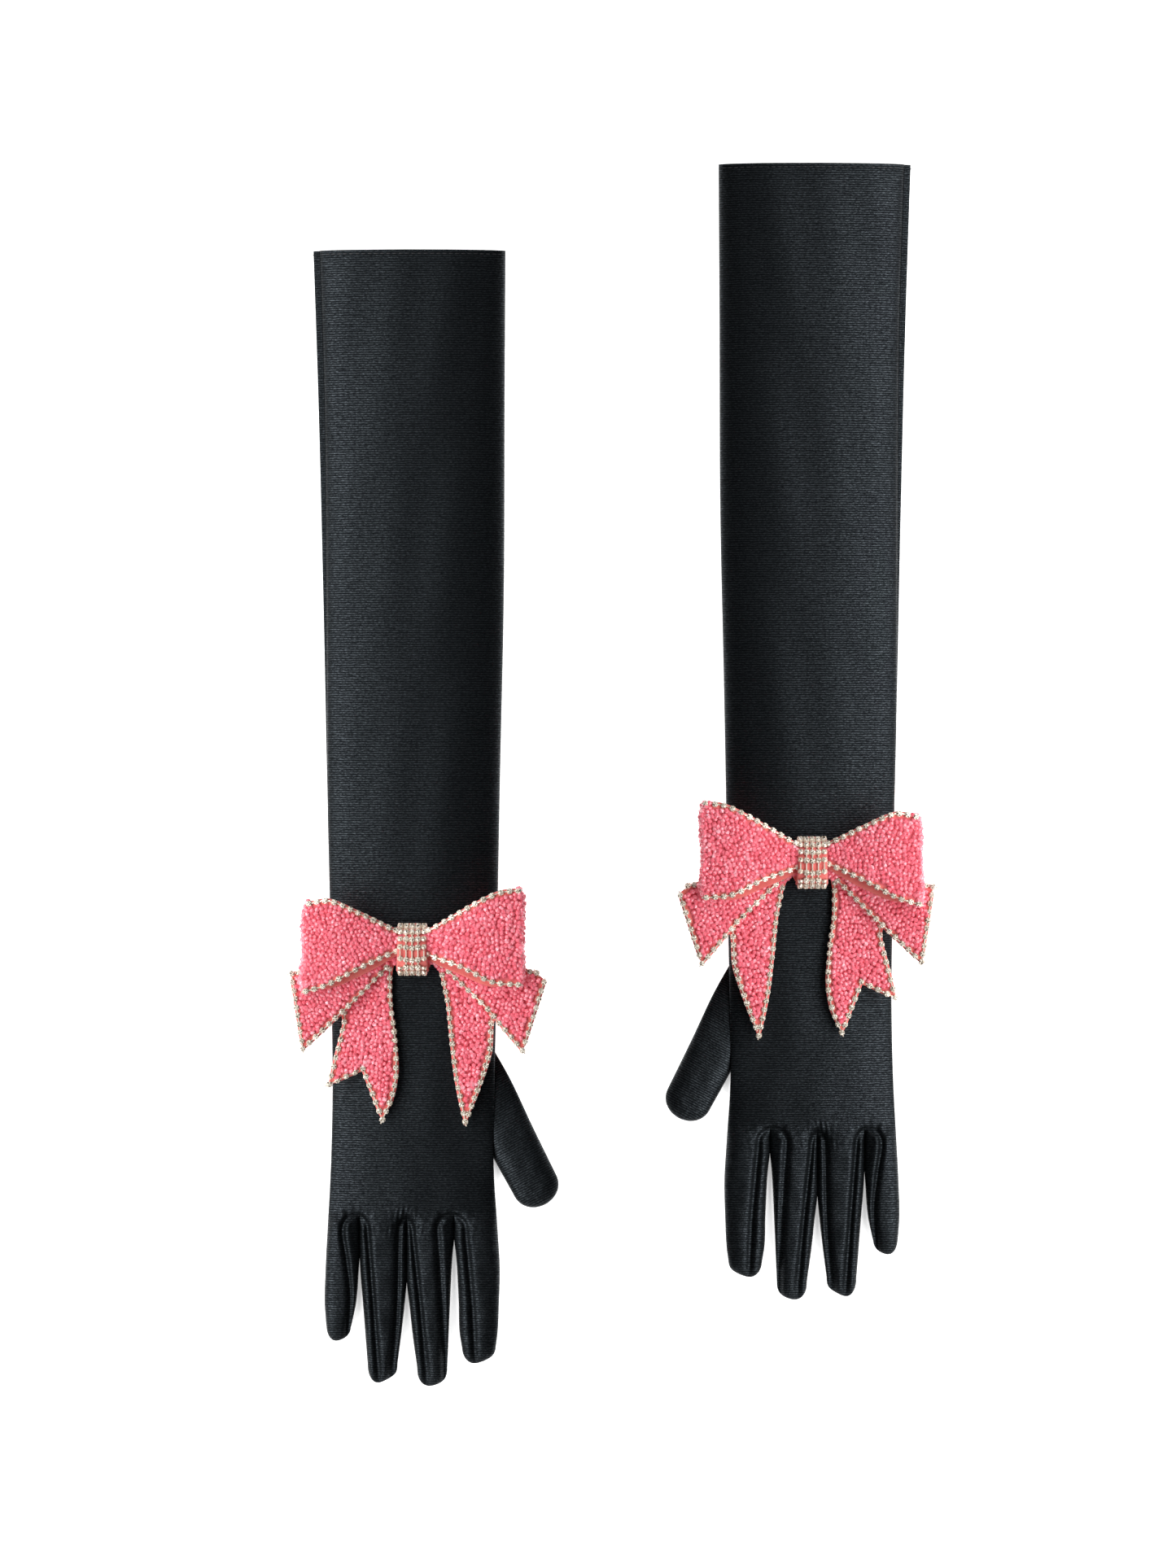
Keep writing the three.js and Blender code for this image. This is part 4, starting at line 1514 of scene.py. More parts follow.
@dataclass
class CrystalBow:
    """The beaded bow on the back of one glove.

    Attributes:
        place: Where the glove lies.
        finishes: The bow's materials.
        copies: The tree that sets cups and stones.
        scatter: The tree that strews beads.
        trims: The sizes of the small shapes.
        shapes: The small shapes, by name.
        knot_x: Where the knot's middle lies, across the glove.
        knot_y: Where it lies along the glove.
        seat: The height of the bow's seat.
        felt: Thickness of the felt.
        bead_gap: Distance between the middles of two beads.
        bead_lift: How far a bead may stand above its neighbours.
        fold_pitch: Distance between the beads down a loop's folded end.
        chain_inset: How far inside an edge the cup chain runs.
        bare_edge: How far inside a chained edge the beads start.
        knot_wide: Width of the knot's strap.
        knot_long: Length of the strap as seen from above.
        knot_low: Height of the strap's ends above the seat.
        knot_top: Height of its middle.
        knot_columns: Where its rows of cups lie, across the strap.
        knot_gap: Length of the bare gap in those rows.
        knot_margin: How far the first cup stands in from the strap's end.
    """

    place: Placement
    finishes: BowFinishes
    copies: NodeTree
    scatter: NodeTree
    trims: Trims
    shapes: dict[str, Object]
    knot_x: float = 0.2
    knot_y: float = 131.8
    seat: float = 12.49
    felt: float = 1.25
    bead_gap: float = 1.8
    bead_lift: float = 0.55
    fold_pitch: float = 2.35
    chain_inset: float = 0.9
    bare_edge: float = 2.5
    knot_wide: float = 14.8
    knot_long: float = 22.0
    knot_low: float = 5.4
    knot_top: float = 16.9
    knot_columns: tuple = (-5.8, -2.9, 0.0, 2.9, 5.8)
    knot_gap: float = 1.8
    knot_margin: float = 0.7

    def seated(self, points: Array) -> Array:
        """Points given from the knot's middle and seat, as points of the glove."""
        return np.asarray(points, float) + np.array([self.knot_x, self.knot_y, self.seat])

    def own(self, thing: Object, slot: str, *nodes: str) -> None:
        """Fixes a piece to the bow, in the place of CAD nodes.

        Args:
            thing: The piece.
            slot: Its material slot; not used.
            nodes: The nodes that it stands for.
        """
        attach(thing, self.place.name("bow"))
        if nodes:
            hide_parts(*(self.place.name(n) for n in nodes))
        LOG.info("%s: %d faces", thing.name, len(thing.data.polygons))

    def felt_part(
        self, name: str, grid: Array, thickness: float, bed: Array | None = None
    ) -> None:
        """Makes a felt part, in the place of the node that has its name.

        Args:
            name: The part's name.
            grid: The points of its upper face, from the knot's middle.
            thickness: How thick it is.
            bed: Where glue and beads cover it.
        """
        title, points = self.place.name(f"{name}_felt"), self.seated(grid)
        felt = thick_sheet(title, points, thickness, self.place, self.finishes.felt, bed)
        self.own(felt, "felt", name)

    def set_shapes(
        self, name: str, shape: str, stations: Stations, size: Array, seed: int, *nodes: str
    ) -> None:
        """Sets a small shape at each station, as one piece.

        Args:
            name: The piece's name.
            shape: Which shape.
            stations: Where the copies stand, in the glove.
            size: Three scales for each copy.
            seed: The seed of their tints.
            nodes: The nodes that the piece stands for.
        """
        finish, slot = {
            "cup": (self.finishes.metal, "cup_chain"),
            "link": (self.finishes.metal, "cup_chain"),
            "stone": (self.finishes.stone, "crystal"),
            "bead": (self.finishes.beads, "pink_beads"),
        }[shape]
        thing = stations.carrier(self.place.name(name), self.place, size)
        self.copies.apply(thing, {"Shape": self.shapes[shape], "Finish": finish, "Seed": seed})
        self.own(thing, slot, *nodes)

    def chain(self, name: str, stations: Stations, seed: int, *nodes: str) -> None:
        """Sets a run of cups and their stones.

        Args:
            name: What the run trims.
            stations: Where the cups stand, from the knot's middle.
            seed: The seed of their small differences.
            nodes: The CAD nodes that the run stands for.
        """
        draw = np.random.default_rng(seed)
        count = len(stations.points)
        lean = stations.tangents * draw.uniform(-0.05, 0.05, (count, 1))
        moved = Stations(self.seated(stations.points), stations.tangents, stations.normals + lean)
        size = np.ones((count, 3)) * draw.uniform(0.96, 1.05, (count, 1))
        self.set_shapes(f"{name}_cups", "cup", moved, size, seed, *nodes)
        swing = np.cross(moved.normals, moved.tangents) * draw.uniform(-1, 1, (count, 1))
        turned = Stations(moved.points, moved.tangents + swing, moved.normals)
        self.set_shapes(f"{name}_stones", "stone", turned, size, seed + 1)

    def beads(self, name: str, grid: Array, bed: Array, seed: int) -> None:
        """Strews beads over a panel.

        Args:
            name: The panel's name.
            grid: The points of its upper face, from the knot's middle.
            bed: Where the beads go, from 0 to 1, for each point.
            seed: The seed of their places.
        """
        rows, columns, _ = grid.shape
        faces = grid_faces(rows, columns, ring=False)
        points = self.place.to_table(self.seated(grid)).reshape(-1, 3)
        if not facing_out(points, faces):
            faces = faces[:, ::-1]
        thing = link_mesh(self.place.name(f"{name}_beads"), points, faces, self.finishes.beads)
        store(thing.data, "bed", "FLOAT", bed)
        values = {
            "Shape": self.shapes["bead"],
            "Finish": self.finishes.beads,
            "Seed": seed,
            "Spacing": self.bead_gap * MM,
            "Lift": self.bead_lift * MM,
        }
        self.scatter.apply(thing, values)
        self.own(thing, "pink_beads")

    def clear_of(self, edges: Array, grid: Array) -> Array:
        """Which points of a grid lie far enough from the chained edges for beads.

        Args:
            edges: Points of the edges, flat or with their heights.
            grid: Rows by columns by three.

        Returns:
            For each point, from 0 to 1.
        """
        flat = grid[..., : edges.shape[1]]
        nearest = np.full(grid.shape[:2], np.inf)
        for point in edges:
            nearest = np.minimum(nearest, np.linalg.norm(flat - point, axis=-1))
        soft = 0.25
        return smooth(self.bare_edge - soft, self.bare_edge + soft, nearest)

    def panel(self, panel: Panel, seed: int) -> None:
        """Makes a tail or a wing: felt, beads, cups and stones."""
        rows, columns, fine, bead_level = 64, 40, 240, 0.45
        grid = panel.grid(rows, columns)
        bed = self.clear_of(resampled(np.array(panel.chained, float), fine, False), grid)
        self.felt_part(panel.name, grid, self.felt, bed)
        self.beads(panel.name, grid + np.array([0, 0, bead_level]), bed, seed)
        pitch = self.trims.pitch
        first, *more = (Stations.along(*run, pitch) for run in panel.trim_runs(self.chain_inset))
        stations = Stations.together([first, *(run.after_first() for run in more)])
        self.chain(panel.name, stations, seed + 5, f"{panel.name}_chain")

    def loop(self, loop: Loop, seed: int) -> None:
        """Makes an upper loop: ribbon, beads, cups and stones."""
        columns = 42
        grid = loop.grid(columns)
        last = loop.front_rows + loop.fold_rows - 3
        bed = self.clear_of(np.vstack([grid[: last + 2, 0], grid[: last + 2, -1]]), grid)
        row = np.arange(len(grid))[:, None]
        at_fold = smooth(loop.front_rows - 4, loop.front_rows, row)
        bed = np.maximum(bed, at_fold) * (row <= last)
        self.felt_part(loop.name, grid, self.felt, bed)
        self.beads(loop.name, grid, bed, seed)
        self.fold_beads(loop, grid, seed + 9)
        edges = (loop.trim_path(self.chain_inset, top) for top in (True, False))
        stations = Stations.together([Stations.along(*edge, self.trims.pitch) for edge in edges])
        nodes = (f"{loop.name}_top_chain", f"{loop.name}_bottom_chain")
        self.chain(loop.name, stations, seed + 5, *nodes)

    def fold_beads(self, loop: Loop, grid: Array, seed: int) -> None:
        """Sets lines of larger beads down a loop's folded end, where they stand out from its side.

        Args:
            loop: The loop.
            grid: Its ribbon.
            seed: The seed of the beads' sizes.
        """
        draw = np.random.default_rng(seed)
        sets = []
        for row in (2, 5, 8):
            lean = 0.25 * row
            out = np.array([loop.side * math.sin(lean), 0.0, math.cos(lean)])
            path = grid[loop.front_rows + row, 2:-2] + out * self.bead_lift
            sets.append(Stations.along(path, np.tile(out, (len(path), 1)), self.fold_pitch))
        line = Stations.together(sets)
        count = len(line.points)
        points = self.seated(line.points + draw.normal(0, 0.28, (count, 3)))
        spun = draw.normal(0, 1, (count, 3))
        stations = Stations(points, line.tangents + spun, line.normals + spun * 0.6)
        size = np.ones((count, 3)) * draw.uniform(0.95, 1.25, (count, 1))
        self.set_shapes(f"{loop.name}_fold_beads", "bead", stations, size, seed)

    def arch(self, across: Array, turn: Array) -> Array:
        """Points of the knot's strap.

        Args:
            across: Places across the strap.
            turn: Angles over it, from 0 at the upper end to pi at the lower end.

        Returns:
            Points, from the knot's middle and seat.
        """
        half, rise = self.knot_long / 2, self.knot_top - self.knot_low
        y = half * np.cos(turn)
        z = self.knot_low + rise * np.sin(turn) ** 0.8
        return np.stack([np.broadcast_to(across, y.shape), y, z], axis=-1)

    def knot(self) -> None:
        """Makes the strap over the bow's middle, with its five rows of cups."""
        end, sag, closest = 0.02, 0.8, 4.1
        angles = np.linspace(end, np.pi - end, 48)
        turn, across = np.meshgrid(angles, np.linspace(-1, 1, 18), indexing="ij")
        grid = self.arch(across * (self.knot_wide / 2) * (1 + 0.04 * np.cos(2 * turn)), turn)
        grid[..., 2] -= sag * np.abs(across) ** 3
        self.felt_part("bow_knot", grid, 1.8)
        fine = np.linspace(0.03, np.pi - 0.03, 400)
        along = distances(self.arch(np.zeros_like(fine), fine))
        room = along[-1] - self.knot_gap
        count = int(room // closest) + 1
        number = np.arange(count)
        pitch = (room - 2 * self.knot_margin) / (count - 1)
        at = self.knot_margin + pitch * number + self.knot_gap * (number > count // 2)
        angle = np.interp(at, along, fine)
        self.knot_bars(float(np.interp((at[count // 2] + at[count // 2 + 1]) / 2, along, fine)))
        sets = []
        for x in self.knot_columns:
            points, tangent = self.on_strap(np.full(count, x), angle, sag * abs(x / 8) ** 3)
            normal = np.cross(tangent, np.tile([1.0, 0, 0], (count, 1)))
            normal *= np.sign((normal * (points - [x, 0, 0])).sum(axis=1, keepdims=True))
            sets.append(Stations(points, tangent, normal))
        self.chain("bow_knot", Stations.together(sets), 91)

    def on_strap(self, x: Array, turn: Array, sunk: float) -> tuple[Array, Array]:
        """Points on the knot's strap, and the way that it runs there.

        Args:
            x: Places across the strap.
            turn: Angles over it.
            sunk: How far the points lie below its middle line.

        Returns:
            The points and their tangents.
        """
        points = self.arch(x, turn)
        points[:, 2] -= sunk
        return points, unit(self.arch(x, turn + 0.01) - points)

    def knot_bars(self, turn: float) -> None:
        """Sets the bars of chain that show in the bare gap below the knot's middle.

        Args:
            turn: Where the gap lies round the strap.
        """
        x = np.array(self.knot_columns)
        points, tangents = self.on_strap(x, np.full(len(x), turn), 0.0)
        normals = np.cross(np.tile([1.0, 0, 0], (len(x), 1)), tangents)
        normals *= np.sign(normals[:, 2:])
        lift = 0.6
        stations = Stations(self.seated(points + normals * lift), tangents, normals)
        self.set_shapes("bow_knot_bars", "link", stations, np.ones((len(x), 3)), 7)

    def backing(self) -> None:
        """Makes the felt patch that holds the bow to the glove."""
        half_width, half_length, level = 11.0, 12.5, 1.55
        s, t = np.meshgrid(np.linspace(-1, 1, 25), np.linspace(-1, 1, 25), indexing="ij")
        x = s * np.sqrt(1 - t**2 / 2) * half_width
        y = t * np.sqrt(1 - s**2 / 2) * half_length
        self.felt_part("bow_backing", np.stack([x, y, np.full_like(x, level)], axis=-1), self.felt)

    def build(self) -> None:
        """Makes every piece of the bow."""
        self.backing()
        own_seed = 0 if self.place.hand is Hand.RIGHT else 300
        for number, panel in enumerate(TAILS + WINGS):
            self.panel(panel, 100 + 20 * number + own_seed)
        for number, loop in enumerate(LOOPS):
            self.loop(loop, 200 + 20 * number + own_seed)
        self.knot()


# ---- Finishes


class Shading(Nodes):
    """The nodes of one material or shader node group."""

    @classmethod
    def of_material(cls, name: str) -> tuple["Shading", Material, Node]:
        """A new material's nodes, the material and its shader."""
        material = bpy.data.materials.new(name)
        material.use_nodes = True
        return cls(material.node_tree), material, material.node_tree.nodes["Principled BSDF"]

    def feed(self, value: object, target: NodeSocket) -> None:
        """Sets a socket to a number or colour, or joins another socket to it."""
        if isinstance(value, NodeSocket):
            self.link(value, target)
        else:
            target.default_value = value

    def math(self, operation: str, a: object, b: object = 0.0, c: object = 0.0) -> NodeSocket:
        """A sum of one to three values."""
        made = self.node("ShaderNodeMath", operation=operation)
        for value, socket in zip((a, b, c), made.inputs):
            self.feed(value, socket)
        return made.outputs[0]

    def noise(self, vector: object, scale: object, detail: float, roughness: float) -> NodeSocket:
        """Soft noise about one half."""
        made = self.node("ShaderNodeTexNoise")
        self.feed(vector, made.inputs["Vector"])
        self.feed(scale, made.inputs["Scale"])
        made.inputs["Detail"].default_value = detail
        made.inputs["Roughness"].default_value = roughness
        return made.outputs["Fac"]

    def stretched(self, vector: object, scale: tuple) -> NodeSocket:
        """A vector with its parts scaled."""
        made = self.node("ShaderNodeVectorMath", operation="MULTIPLY")
        self.feed(vector, made.inputs[0])
        made.inputs[1].default_value = scale
        return made.outputs[0]

    def remap(self, value: object, *ends: float) -> NodeSocket:
        """A value moved from one range, two ends, to another, and kept inside it."""
        made = self.node("ShaderNodeMapRange")
        for given, socket in zip((value, *ends), made.inputs):
            self.feed(given, socket)
        return made.outputs[0]

    def ramp(self, value: object, stops: Sequence[tuple[float, tuple]]) -> NodeSocket:
        """A colour for each value, from a few stops."""
        made = self.node("ShaderNodeValToRGB")
        band = made.color_ramp
        while len(band.elements) < len(stops):
            band.elements.new(0.5)
        for element, (at, colour) in zip(band.elements, stops):
            element.position = at
            element.color = (*colour, 1.0)
        self.feed(value, made.inputs[0])
        return made.outputs[0]

    def mix(self, share: object, a: object, b: object) -> NodeSocket:
        """A blend of two colours."""
        made = self.node("ShaderNodeMix", data_type="RGBA")
        self.feed(share, made.inputs[0])
        for value, number in ((a, 6), (b, 7)):
            self.feed((*value, 1.0) if isinstance(value, tuple) else value, made.inputs[number])
        return made.outputs[2]

    def painted_facet_glints(self, facet_turns: float, tint_turns: float) -> NodeSocket:
        """A painted reflection level for each facet, which differs from facet to facet and from copy to
        copy.
        """
        tint = self.math("MULTIPLY", self.attribute("tint"), tint_turns)
        return self.math("FRACT", self.math("MULTIPLY_ADD", self.attribute("facet"), facet_turns, tint))

    def bump_into(self, shader: Node, height: object, distance: float, strength: float) -> None:
        """Feeds a height into a shader's normal."""
        made = self.node("ShaderNodeBump")
        made.inputs["Strength"].default_value = strength
        made.inputs["Distance"].default_value = distance
        self.feed(height, made.inputs["Height"])
        self.link(made.outputs[0], shader.inputs["Normal"])

    def attribute(self, name: str) -> NodeSocket:
        """A number stored on the mesh."""
        return self.node("ShaderNodeAttribute", attribute_name=name).outputs["Fac"]


def shading_group(
    name: str, inputs: Sequence[tuple], outputs: Sequence[str]
) -> tuple[Shading, object, object]:
    """A new shader node group.

    Args:
        name: The group's name.
        inputs: The name and the default of each input; one without a default is a vector.
        outputs: The name of each output, a number.

    Returns:
        Its nodes, its inputs by name and its outputs by name.
    """
    tree = bpy.data.node_groups.new(name, "ShaderNodeTree")
    for label, default in inputs:
        kind = "NodeSocketVector" if default is None else "NodeSocketFloat"
        socket = tree.interface.new_socket(label, in_out="INPUT", socket_type=kind)
        if default is not None:
            socket.default_value = default
    for label in outputs:
        tree.interface.new_socket(label, in_out="OUTPUT", socket_type="NodeSocketFloat")
    shading = Shading(tree)
    entry, leave = shading.node("NodeGroupInput"), shading.node("NodeGroupOutput")
    return shading, entry.outputs, leave.inputs


def grain_group() -> bpy.types.NodeTree:
    """Fine irregular grain with soft clouds over it, for felt, cloth and metal."""
    inputs = (("Vector", None), ("Grain Scale", 900.0), ("Cloud Scale", 60.0))
    shading, given, made = shading_group("grain and clouds", inputs, ("Grain", "Clouds"))
    fine = shading.noise(given["Vector"], given["Grain Scale"], 4.0, 0.65)
    soft = shading.noise(given["Vector"], given["Cloud Scale"], 3.0, 0.5)
    shading.link(shading.remap(fine, 0.3, 0.7, 0.0, 1.0), made["Grain"])
    shading.link(shading.remap(soft, 0.32, 0.68, 0.0, 1.0), made["Clouds"])
    return shading.tree


def weave_group() -> bpy.types.NodeTree:
    """The crosswise ribs of stretch satin, broken up into short floats of thread."""
    inputs = (("Cloth", None), ("Ribs per cm", 11.0), ("Unevenness", 0.35))
    shading, given, made = shading_group("satin ribs", inputs, ("Ribs", "Floats", "Height"))
    split = shading.node("ShaderNodeSeparateXYZ")
    shading.link(given["Cloth"], split.inputs[0])
    drift = shading.noise(shading.stretched(given["Cloth"], (3.0, 9.0, 1.0)), 1.0, 3.0, 0.6)
    shifted = shading.math("MULTIPLY_ADD", drift, given["Unevenness"], split.outputs["Y"])
    phase = shading.math("MULTIPLY", shifted, shading.math("MULTIPLY", given["Ribs per cm"], 2 * math.pi))
    ribs = shading.math("MULTIPLY_ADD", shading.math("SINE", phase), 0.5, 0.5)
    floats = shading.noise(shading.stretched(given["Cloth"], (4.5, 9.0, 1.0)), 1.6, 3.0, 0.75)
    floats = shading.remap(floats, 0.3, 0.72, 0.0, 1.0)
    shading.link(ribs, made["Ribs"])
    shading.link(floats, made["Floats"])
    shading.link(shading.math("MULTIPLY_ADD", floats, 1.3, ribs), made["Height"])
    return shading.tree


@dataclass(frozen=True)
class SharedEffects:
    """The node groups that several finishes use."""

    grain: bpy.types.NodeTree
    weave: bpy.types.NodeTree

    def place(
        self, shading: Shading, group: bpy.types.NodeTree, vector: object, **values: float
    ) -> Node:
        """Sets a group into a material.

        Args:
            shading: The material's nodes.
            group: The group.
            vector: What it reads its place from.
            values: Its other inputs, with underscores for the spaces in their names.

        Returns:
            The group's node.
        """
        made = shading.node("ShaderNodeGroup")
        made.node_tree = group
        shading.link(vector, made.inputs[0])
        for key, value in values.items():
            made.inputs[key.replace("_", " ")].default_value = value
        return made


@dataclass(frozen=True)
class BlackSatin:
    """Black stretch satin with fine crosswise ribs, whose threads colour its shine.

    It is dark and dulled between the ribs, and a rib stands up by the relief, in metres.
    """

    name: str = "black_satin"
    ribs_per_cm: float = 8.8
    roughness: float = 0.24
    dulling: float = 0.32
    relief: float = 0.00006
    dark: tuple = (0.0030, 0.0040, 0.0050)
    light: tuple = (0.0680, 0.0790, 0.0880)

    def build(self, effects: SharedEffects) -> Material:
        """Makes the material."""
        shading, material, shader = Shading.of_material(self.name)
        cloth = shading.node("ShaderNodeUVMap", uv_map="cloth").outputs[0]
        weave = effects.place(shading, effects.weave, cloth, Ribs_per_cm=self.ribs_per_cm, Unevenness=0.11)
        grain = effects.place(shading, effects.grain, cloth, Grain_Scale=14.0, Cloud_Scale=0.45)
        flecks = shading.math("POWER", weave.outputs["Floats"], 1.4)
        thread = shading.math("MULTIPLY", weave.outputs["Ribs"], flecks)
        thread = shading.math("MULTIPLY_ADD", grain.outputs["Grain"], 0.05, thread)
        shading.link(shading.mix(thread, self.dark, self.light), shader.inputs["Base Color"])
        lit = shading.math("MULTIPLY", weave.outputs["Ribs"], weave.outputs["Floats"])
        shine = shading.math("MULTIPLY_ADD", lit, -0.34, self.roughness + self.dulling)
        shine = shading.math("MULTIPLY_ADD", grain.outputs["Clouds"], 0.04, shine)
        shading.link(shine, shader.inputs["Roughness"])
        shading.bump_into(shader, weave.outputs["Height"], self.relief, 1.0)
        shader.inputs["Specular IOR Level"].default_value = 0.2
        shader.inputs["Metallic"].default_value = 0.9
        return material


@dataclass(frozen=True)
class Finish:
    """What the other finishes share: grain, clouds, uneven roughness and plain values.

    Attributes:
        name: The material's name.
        grain_scale: How fine the grain is.
        cloud_scale: How fine the clouds over it are.
        rough: The least and the greatest roughness, or nothing for a plain one.
        rough_from: The pattern that the roughness follows.
        plain: Further values of the shader, each with its socket's name.
    """

    name: str
    grain_scale: float
    cloud_scale: float
    rough: tuple = ()
    rough_from: str = "Grain"
    plain: tuple = ()

    def begin(
        self, effects: SharedEffects
    ) -> tuple[Shading, Material, Node, NodeSocket, NodeSocket]:
        """Starts the material.

        Args:
            effects: The shared node groups.

        Returns:
            Its nodes, the material, its shader, its grain and its clouds.
        """
        shading, material, shader = Shading.of_material(self.name)
        place = shading.node("ShaderNodeTexCoord").outputs["Object"]
        scales = {"Grain_Scale": self.grain_scale, "Cloud_Scale": self.cloud_scale}
        pattern = effects.place(shading, effects.grain, place, **scales).outputs
        if self.rough:
            uneven = shading.remap(pattern[self.rough_from], 0, 1, *self.rough)
            shading.link(uneven, shader.inputs["Roughness"])
        for label, value in self.plain:
            shader.inputs[label].default_value = value
        return shading, material, shader, pattern["Grain"], pattern["Clouds"]


@dataclass(frozen=True)
class Thread(Finish):
    """Black sewing thread."""

    name: str = "sewing_thread"
    grain_scale: float = 6000.0
    cloud_scale: float = 300.0
    rough: tuple = (0.35, 0.55)
    rough_from: str = "Clouds"

    def build(self, effects: SharedEffects) -> Material:
        """Makes the material."""
        shading, material, shader, grain, _ = self.begin(effects)
        tint = shading.mix(grain, (0.004, 0.004, 0.005), (0.03, 0.03, 0.034))
        shading.link(tint, shader.inputs["Base Color"])
        shading.bump_into(shader, grain, 0.00005, 0.6)
        return material


@dataclass(frozen=True)
class SalmonFelt(Finish):
    """Pink craft felt, deeper in colour where glue and beads cover it."""

    name: str = "salmon_felt"
    grain_scale: float = 2600.0
    cloud_scale: float = 160.0
    rough: tuple = (0.8, 0.95)
    plain: tuple = (("Sheen Weight", 0.25), ("Sheen Roughness", 0.5))
    dark: tuple = (0.72, 0.105, 0.10)
    light: tuple = (0.90, 0.19, 0.17)
    fibre: tuple = (0.95, 0.28, 0.24)
    glued: tuple = (0.72, 0.12, 0.155)

    def build(self, effects: SharedEffects) -> Material:
        """Makes the material."""
        shading, material, shader, grain, clouds = self.begin(effects)
        felt = shading.mix(clouds, self.dark, self.light)
        felt = shading.mix(shading.math("MULTIPLY", grain, 0.35), felt, self.fibre)
        covered = shading.mix(shading.attribute("bed"), felt, self.glued)
        shading.link(covered, shader.inputs["Base Color"])
        shading.bump_into(shader, grain, 0.0002, 0.7)
        return material


@dataclass(frozen=True)
class PinkBeads(Finish):
    """Clear pink crystal beads, each a little different in tone, with painted facet reflections, painted
    highlights and a faint painted glow.
    """

    name: str = "pink_crystal_beads"
    grain_scale: float = 1500.0
    cloud_scale: float = 70.0
    rough: tuple = (0.08, 0.2)
    plain: tuple = (
        # Emission: a faint painted glow in the beads' own colour, which lifts their shade.
        ("Emission Strength", 0.15),
        ("IOR", 1.5),
        ("Subsurface Weight", 0.6),
        ("Subsurface Radius", (1.0, 0.45, 0.5)),
        ("Subsurface Scale", 0.0016),
        ("Coat Weight", 0.3),
        ("Coat Roughness", 0.06),
    )
    stops: tuple = (
        (0.0, (0.70, 0.13, 0.175)),
        (0.3, (0.75, 0.15, 0.20)),
        (0.58, (0.79, 0.18, 0.235)),
        (0.78, (0.85, 0.27, 0.33)),
        # The two top stops are painted highlights in a pale whitish pink.
        (0.9, (0.93, 0.50, 0.56)),
        (1.0, (0.84, 0.60, 0.82)),
    )

    def build(self, effects: SharedEffects) -> Material:
        """Makes the material."""
        shading, material, shader, _, clouds = self.begin(effects)
        whole_bead = shading.math("MULTIPLY", shading.attribute("tint"), 0.50)
        # The facet term is painted reflection; the whole-bead tint and the clouds are random tone.
        level = shading.math("MULTIPLY_ADD", shading.painted_facet_glints(3.7, 5.3), 0.34, whole_bead)
        level = shading.math("MULTIPLY_ADD", clouds, 0.13, level)
        colour = shading.ramp(level, self.stops)
        shading.link(colour, shader.inputs["Base Color"])
        # Painted glow: the beads' colour, painted highlights included, also feeds their emission.
        shading.link(colour, shader.inputs["Emission Color"])
        return material


@dataclass(frozen=True)
class PaleGold(Finish):
    """Pale gold plating on the cup chain."""

    name: str = "pale_gold_cups"
    grain_scale: float = 1800.0
    cloud_scale: float = 240.0
    rough: tuple = (0.22, 0.42)
    plain: tuple = (("Metallic", 0.4),)

    def build(self, effects: SharedEffects) -> Material:
        """Makes the material."""
        shading, material, shader, _, clouds = self.begin(effects)
        plate = shading.mix(clouds, (0.86, 0.72, 0.58), (0.97, 0.90, 0.80))
        tint = shading.math("MULTIPLY", shading.attribute("tint"), 0.3)
        shading.link(shading.mix(tint, plate, (0.60, 0.47, 0.36)), shader.inputs["Base Color"])
        return material


@dataclass(frozen=True)
class ClearStones(Finish):
    """Clear glass stones with a foiled back; their bright and dark facets are painted reflections, with a
    faint painted glow.
    """

    name: str = "clear_stones"
    grain_scale: float = 2500.0
    cloud_scale: float = 600.0
    rough: tuple = (0.04, 0.12)
    plain: tuple = (
        # Emission: a faint painted glow in the facets' painted colours.
        ("Emission Strength", 0.1),
        ("Metallic", 0.1),
        ("IOR", 1.6),
        ("Coat Weight", 0.6),
        ("Coat Roughness", 0.03),
    )
    stops: tuple = (
        # Stops for the painted facet reflections, warm in tone, from dark facets to bright glints.
        (0.0, (0.02, 0.015, 0.01)),
        (0.3, (0.13, 0.09, 0.06)),
        (0.46, (0.48, 0.38, 0.26)),
        (0.64, (0.88, 0.80, 0.66)),
        (1.0, (1.0, 0.99, 0.95)),
    )

    def build(self, effects: SharedEffects) -> Material:
        """Makes the material."""
        shading, material, shader, _, clouds = self.begin(effects)
        # Painted reflections: each facet is made dark or bright, with soft random clouds over it.
        facets = shading.math("MULTIPLY", shading.painted_facet_glints(5.1, 7.7), 0.9)
        colour = shading.ramp(shading.math("MULTIPLY_ADD", clouds, 0.12, facets), self.stops)
        shading.link(colour, shader.inputs["Base Color"])
        # Painted glow: the painted facet colours also feed the emission.
        shading.link(colour, shader.inputs["Emission Color"])
        return material


@dataclass(frozen=True)
class PalePaper(Finish):
    """The plain white table."""

    name: str = "white_table"
    grain_scale: float = 400.0
    cloud_scale: float = 4.0
    plain: tuple = (
        ("Roughness", 0.9),
        ("Specular IOR Level", 0.1),
        ("Emission Color", (1, 1, 1, 1)),
        ("Emission Strength", 0.4),
    )

    def build(self, effects: SharedEffects) -> Material:
        """Makes the material."""
        shading, material, shader, _, clouds = self.begin(effects)
        paper = shading.mix(clouds, (0.94, 0.94, 0.94), (0.96, 0.96, 0.96))
        shading.link(paper, shader.inputs["Base Color"])
        return material


# ---- Table, light and camera


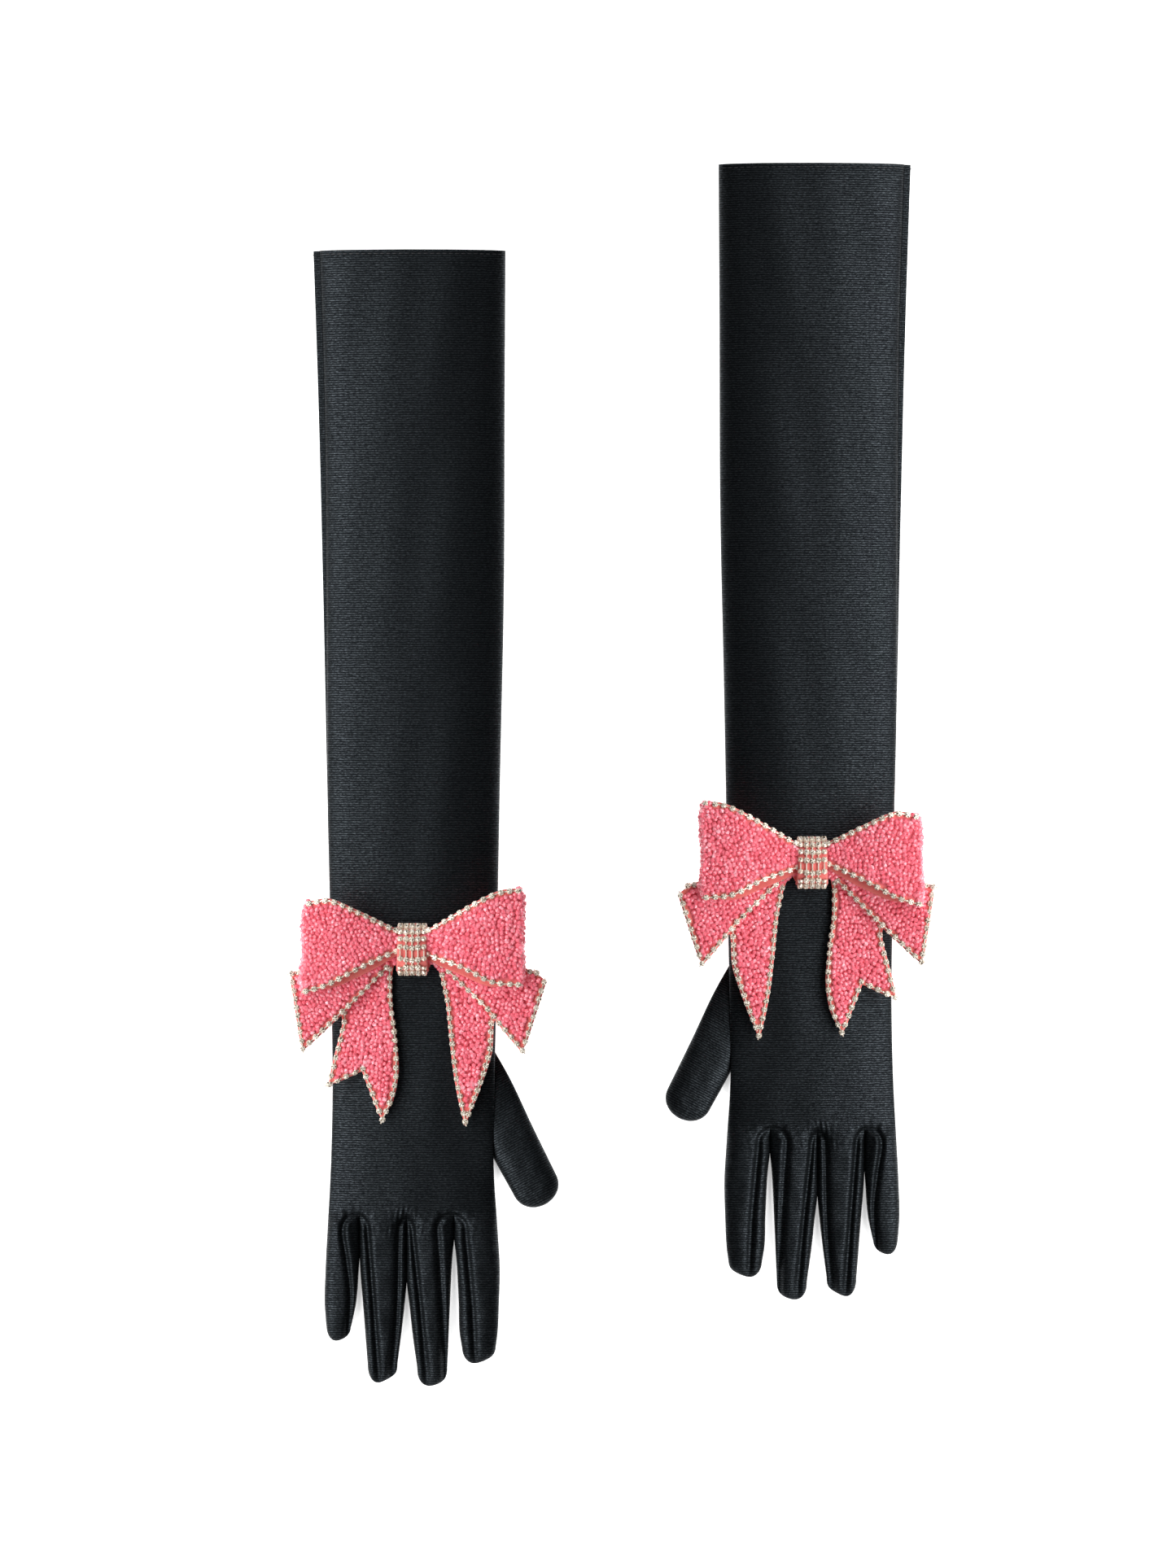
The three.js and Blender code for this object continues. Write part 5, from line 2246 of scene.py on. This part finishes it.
@dataclass
class Studio:
    """A white table under soft light, seen from straight above; sizes are in metres.

    The frame's height is measured at the table, and the sensor along the picture's height.
    """

    view_height: float = 3.0
    frame_height: float = 0.7708
    middle_x: float = -0.0118
    middle_y: float = -0.0044
    sensor: float = 36.0
    table: float = 8.0
    room_light: float = 0.018

    def build_table(self, material: Material) -> None:
        """Makes the table, which isn't part of the object."""
        corners = np.array([(-1, -1, 0), (1, -1, 0), (1, 1, 0), (-1, 1, 0)]) * self.table / 2
        link_mesh("table", corners, [(0, 1, 2, 3)], material)

    def build_light(
        self, name: str, place: tuple, size: tuple, power: float, lit: Collection | None = None
    ) -> None:
        """Adds a soft box that faces the middle of the table.

        Args:
            name: The light's name.
            place: Where it hangs.
            size: Its two sides.
            power: Its power in watts.
            lit: What it lights, or nothing for everything.
        """
        data = bpy.data.lights.new(name, "AREA")
        data.shape = "RECTANGLE"
        data.size, data.size_y = size
        data.energy = power
        thing = add_object(name, data)
        thing.location = place
        thing.rotation_mode = "QUATERNION"
        thing.rotation_quaternion = (-Vector(place)).to_track_quat("-Z", "Y")
        if lit is not None:
            thing.light_linking.receiver_collection = lit

    def glove_and_table(self, hand: Hand) -> Collection:
        """The pieces of one glove, with the table, as a group for a light."""
        group = bpy.data.collections.new(f"{hand.value}_glove_and_table")
        for thing in list(bpy.context.scene.objects):
            if thing.type == "MESH" and (thing.name.startswith(hand.value) or thing.name == "table"):
                group.objects.link(thing)
        return group

    def build_camera(self) -> None:
        """Makes the camera, straight above the pair."""
        data = bpy.data.cameras.new("camera")
        data.sensor_width = self.sensor
        data.lens = self.sensor * self.view_height / self.frame_height
        thing = add_object("camera", data)
        thing.location = (self.middle_x, self.middle_y, self.view_height)
        bpy.context.scene.camera = thing

    def build(self, material: Material) -> None:
        """Makes the table, the lights and the camera."""
        self.build_table(material)
        for hand, side in ((Hand.RIGHT, -1), (Hand.LEFT, 1)):
            lit = self.glove_and_table(hand)
            name = hand.value
            self.build_light(f"{name}_main_box", (side * 1.4, 0.0, 1.44), (3.4, 1.6), 76.0, lit)
            self.build_light(f"{name}_rim_strip", (side * -1.9, 0.0, 0.6), (2.4, 0.45), 1.5, lit)
        self.build_light("top_box", (0.0, 0.0, 3.35), (1.4, 1.4), 1.4)
        for name, y in (("far_box", 2.1), ("near_box", -2.1)):
            self.build_light(name, (0.0, y, 1.3), (1.6, 1.0), 10.0)
        world = bpy.data.worlds.new("room")
        world.use_nodes = True
        background = world.node_tree.nodes["Background"]
        background.inputs["Color"].default_value = (1, 1, 1, 1)
        background.inputs["Strength"].default_value = self.room_light
        bpy.context.scene.world = world
        bpy.context.scene.view_settings.view_transform = "Standard"
        self.build_camera()


def main() -> None:
    """Builds both gloves and the studio."""
    logging.basicConfig(level=logging.INFO, format="%(name)s: %(message)s")
    effects = SharedEffects(grain_group(), weave_group())
    satin, thread = BlackSatin().build(effects), Thread().build(effects)
    bow_finishes = (SalmonFelt(), PinkBeads(), PaleGold(), ClearStones())
    finishes = BowFinishes(*(finish.build(effects) for finish in bow_finishes))
    copies, scatter = copies_tree(), scatter_tree()
    trims = Trims()
    makers = (trims.cup, trims.link, trims.stone, trims.bead, trims.stitch)
    shapes = {make.__name__: make() for make in makers}
    for hand in Hand:
        place = Placement.of(hand)
        cloth = GloveCloth(place, satin)
        cloth.build()
        cloth.hem_stitches(copies, shapes["stitch"], thread)
        CrystalBow(place, finishes, copies, scatter, trims, shapes).build()
    for shape in shapes.values():
        bpy.data.objects.remove(shape)
    Studio().build(PalePaper().build(effects))


if __name__ == "__main__":
    main()
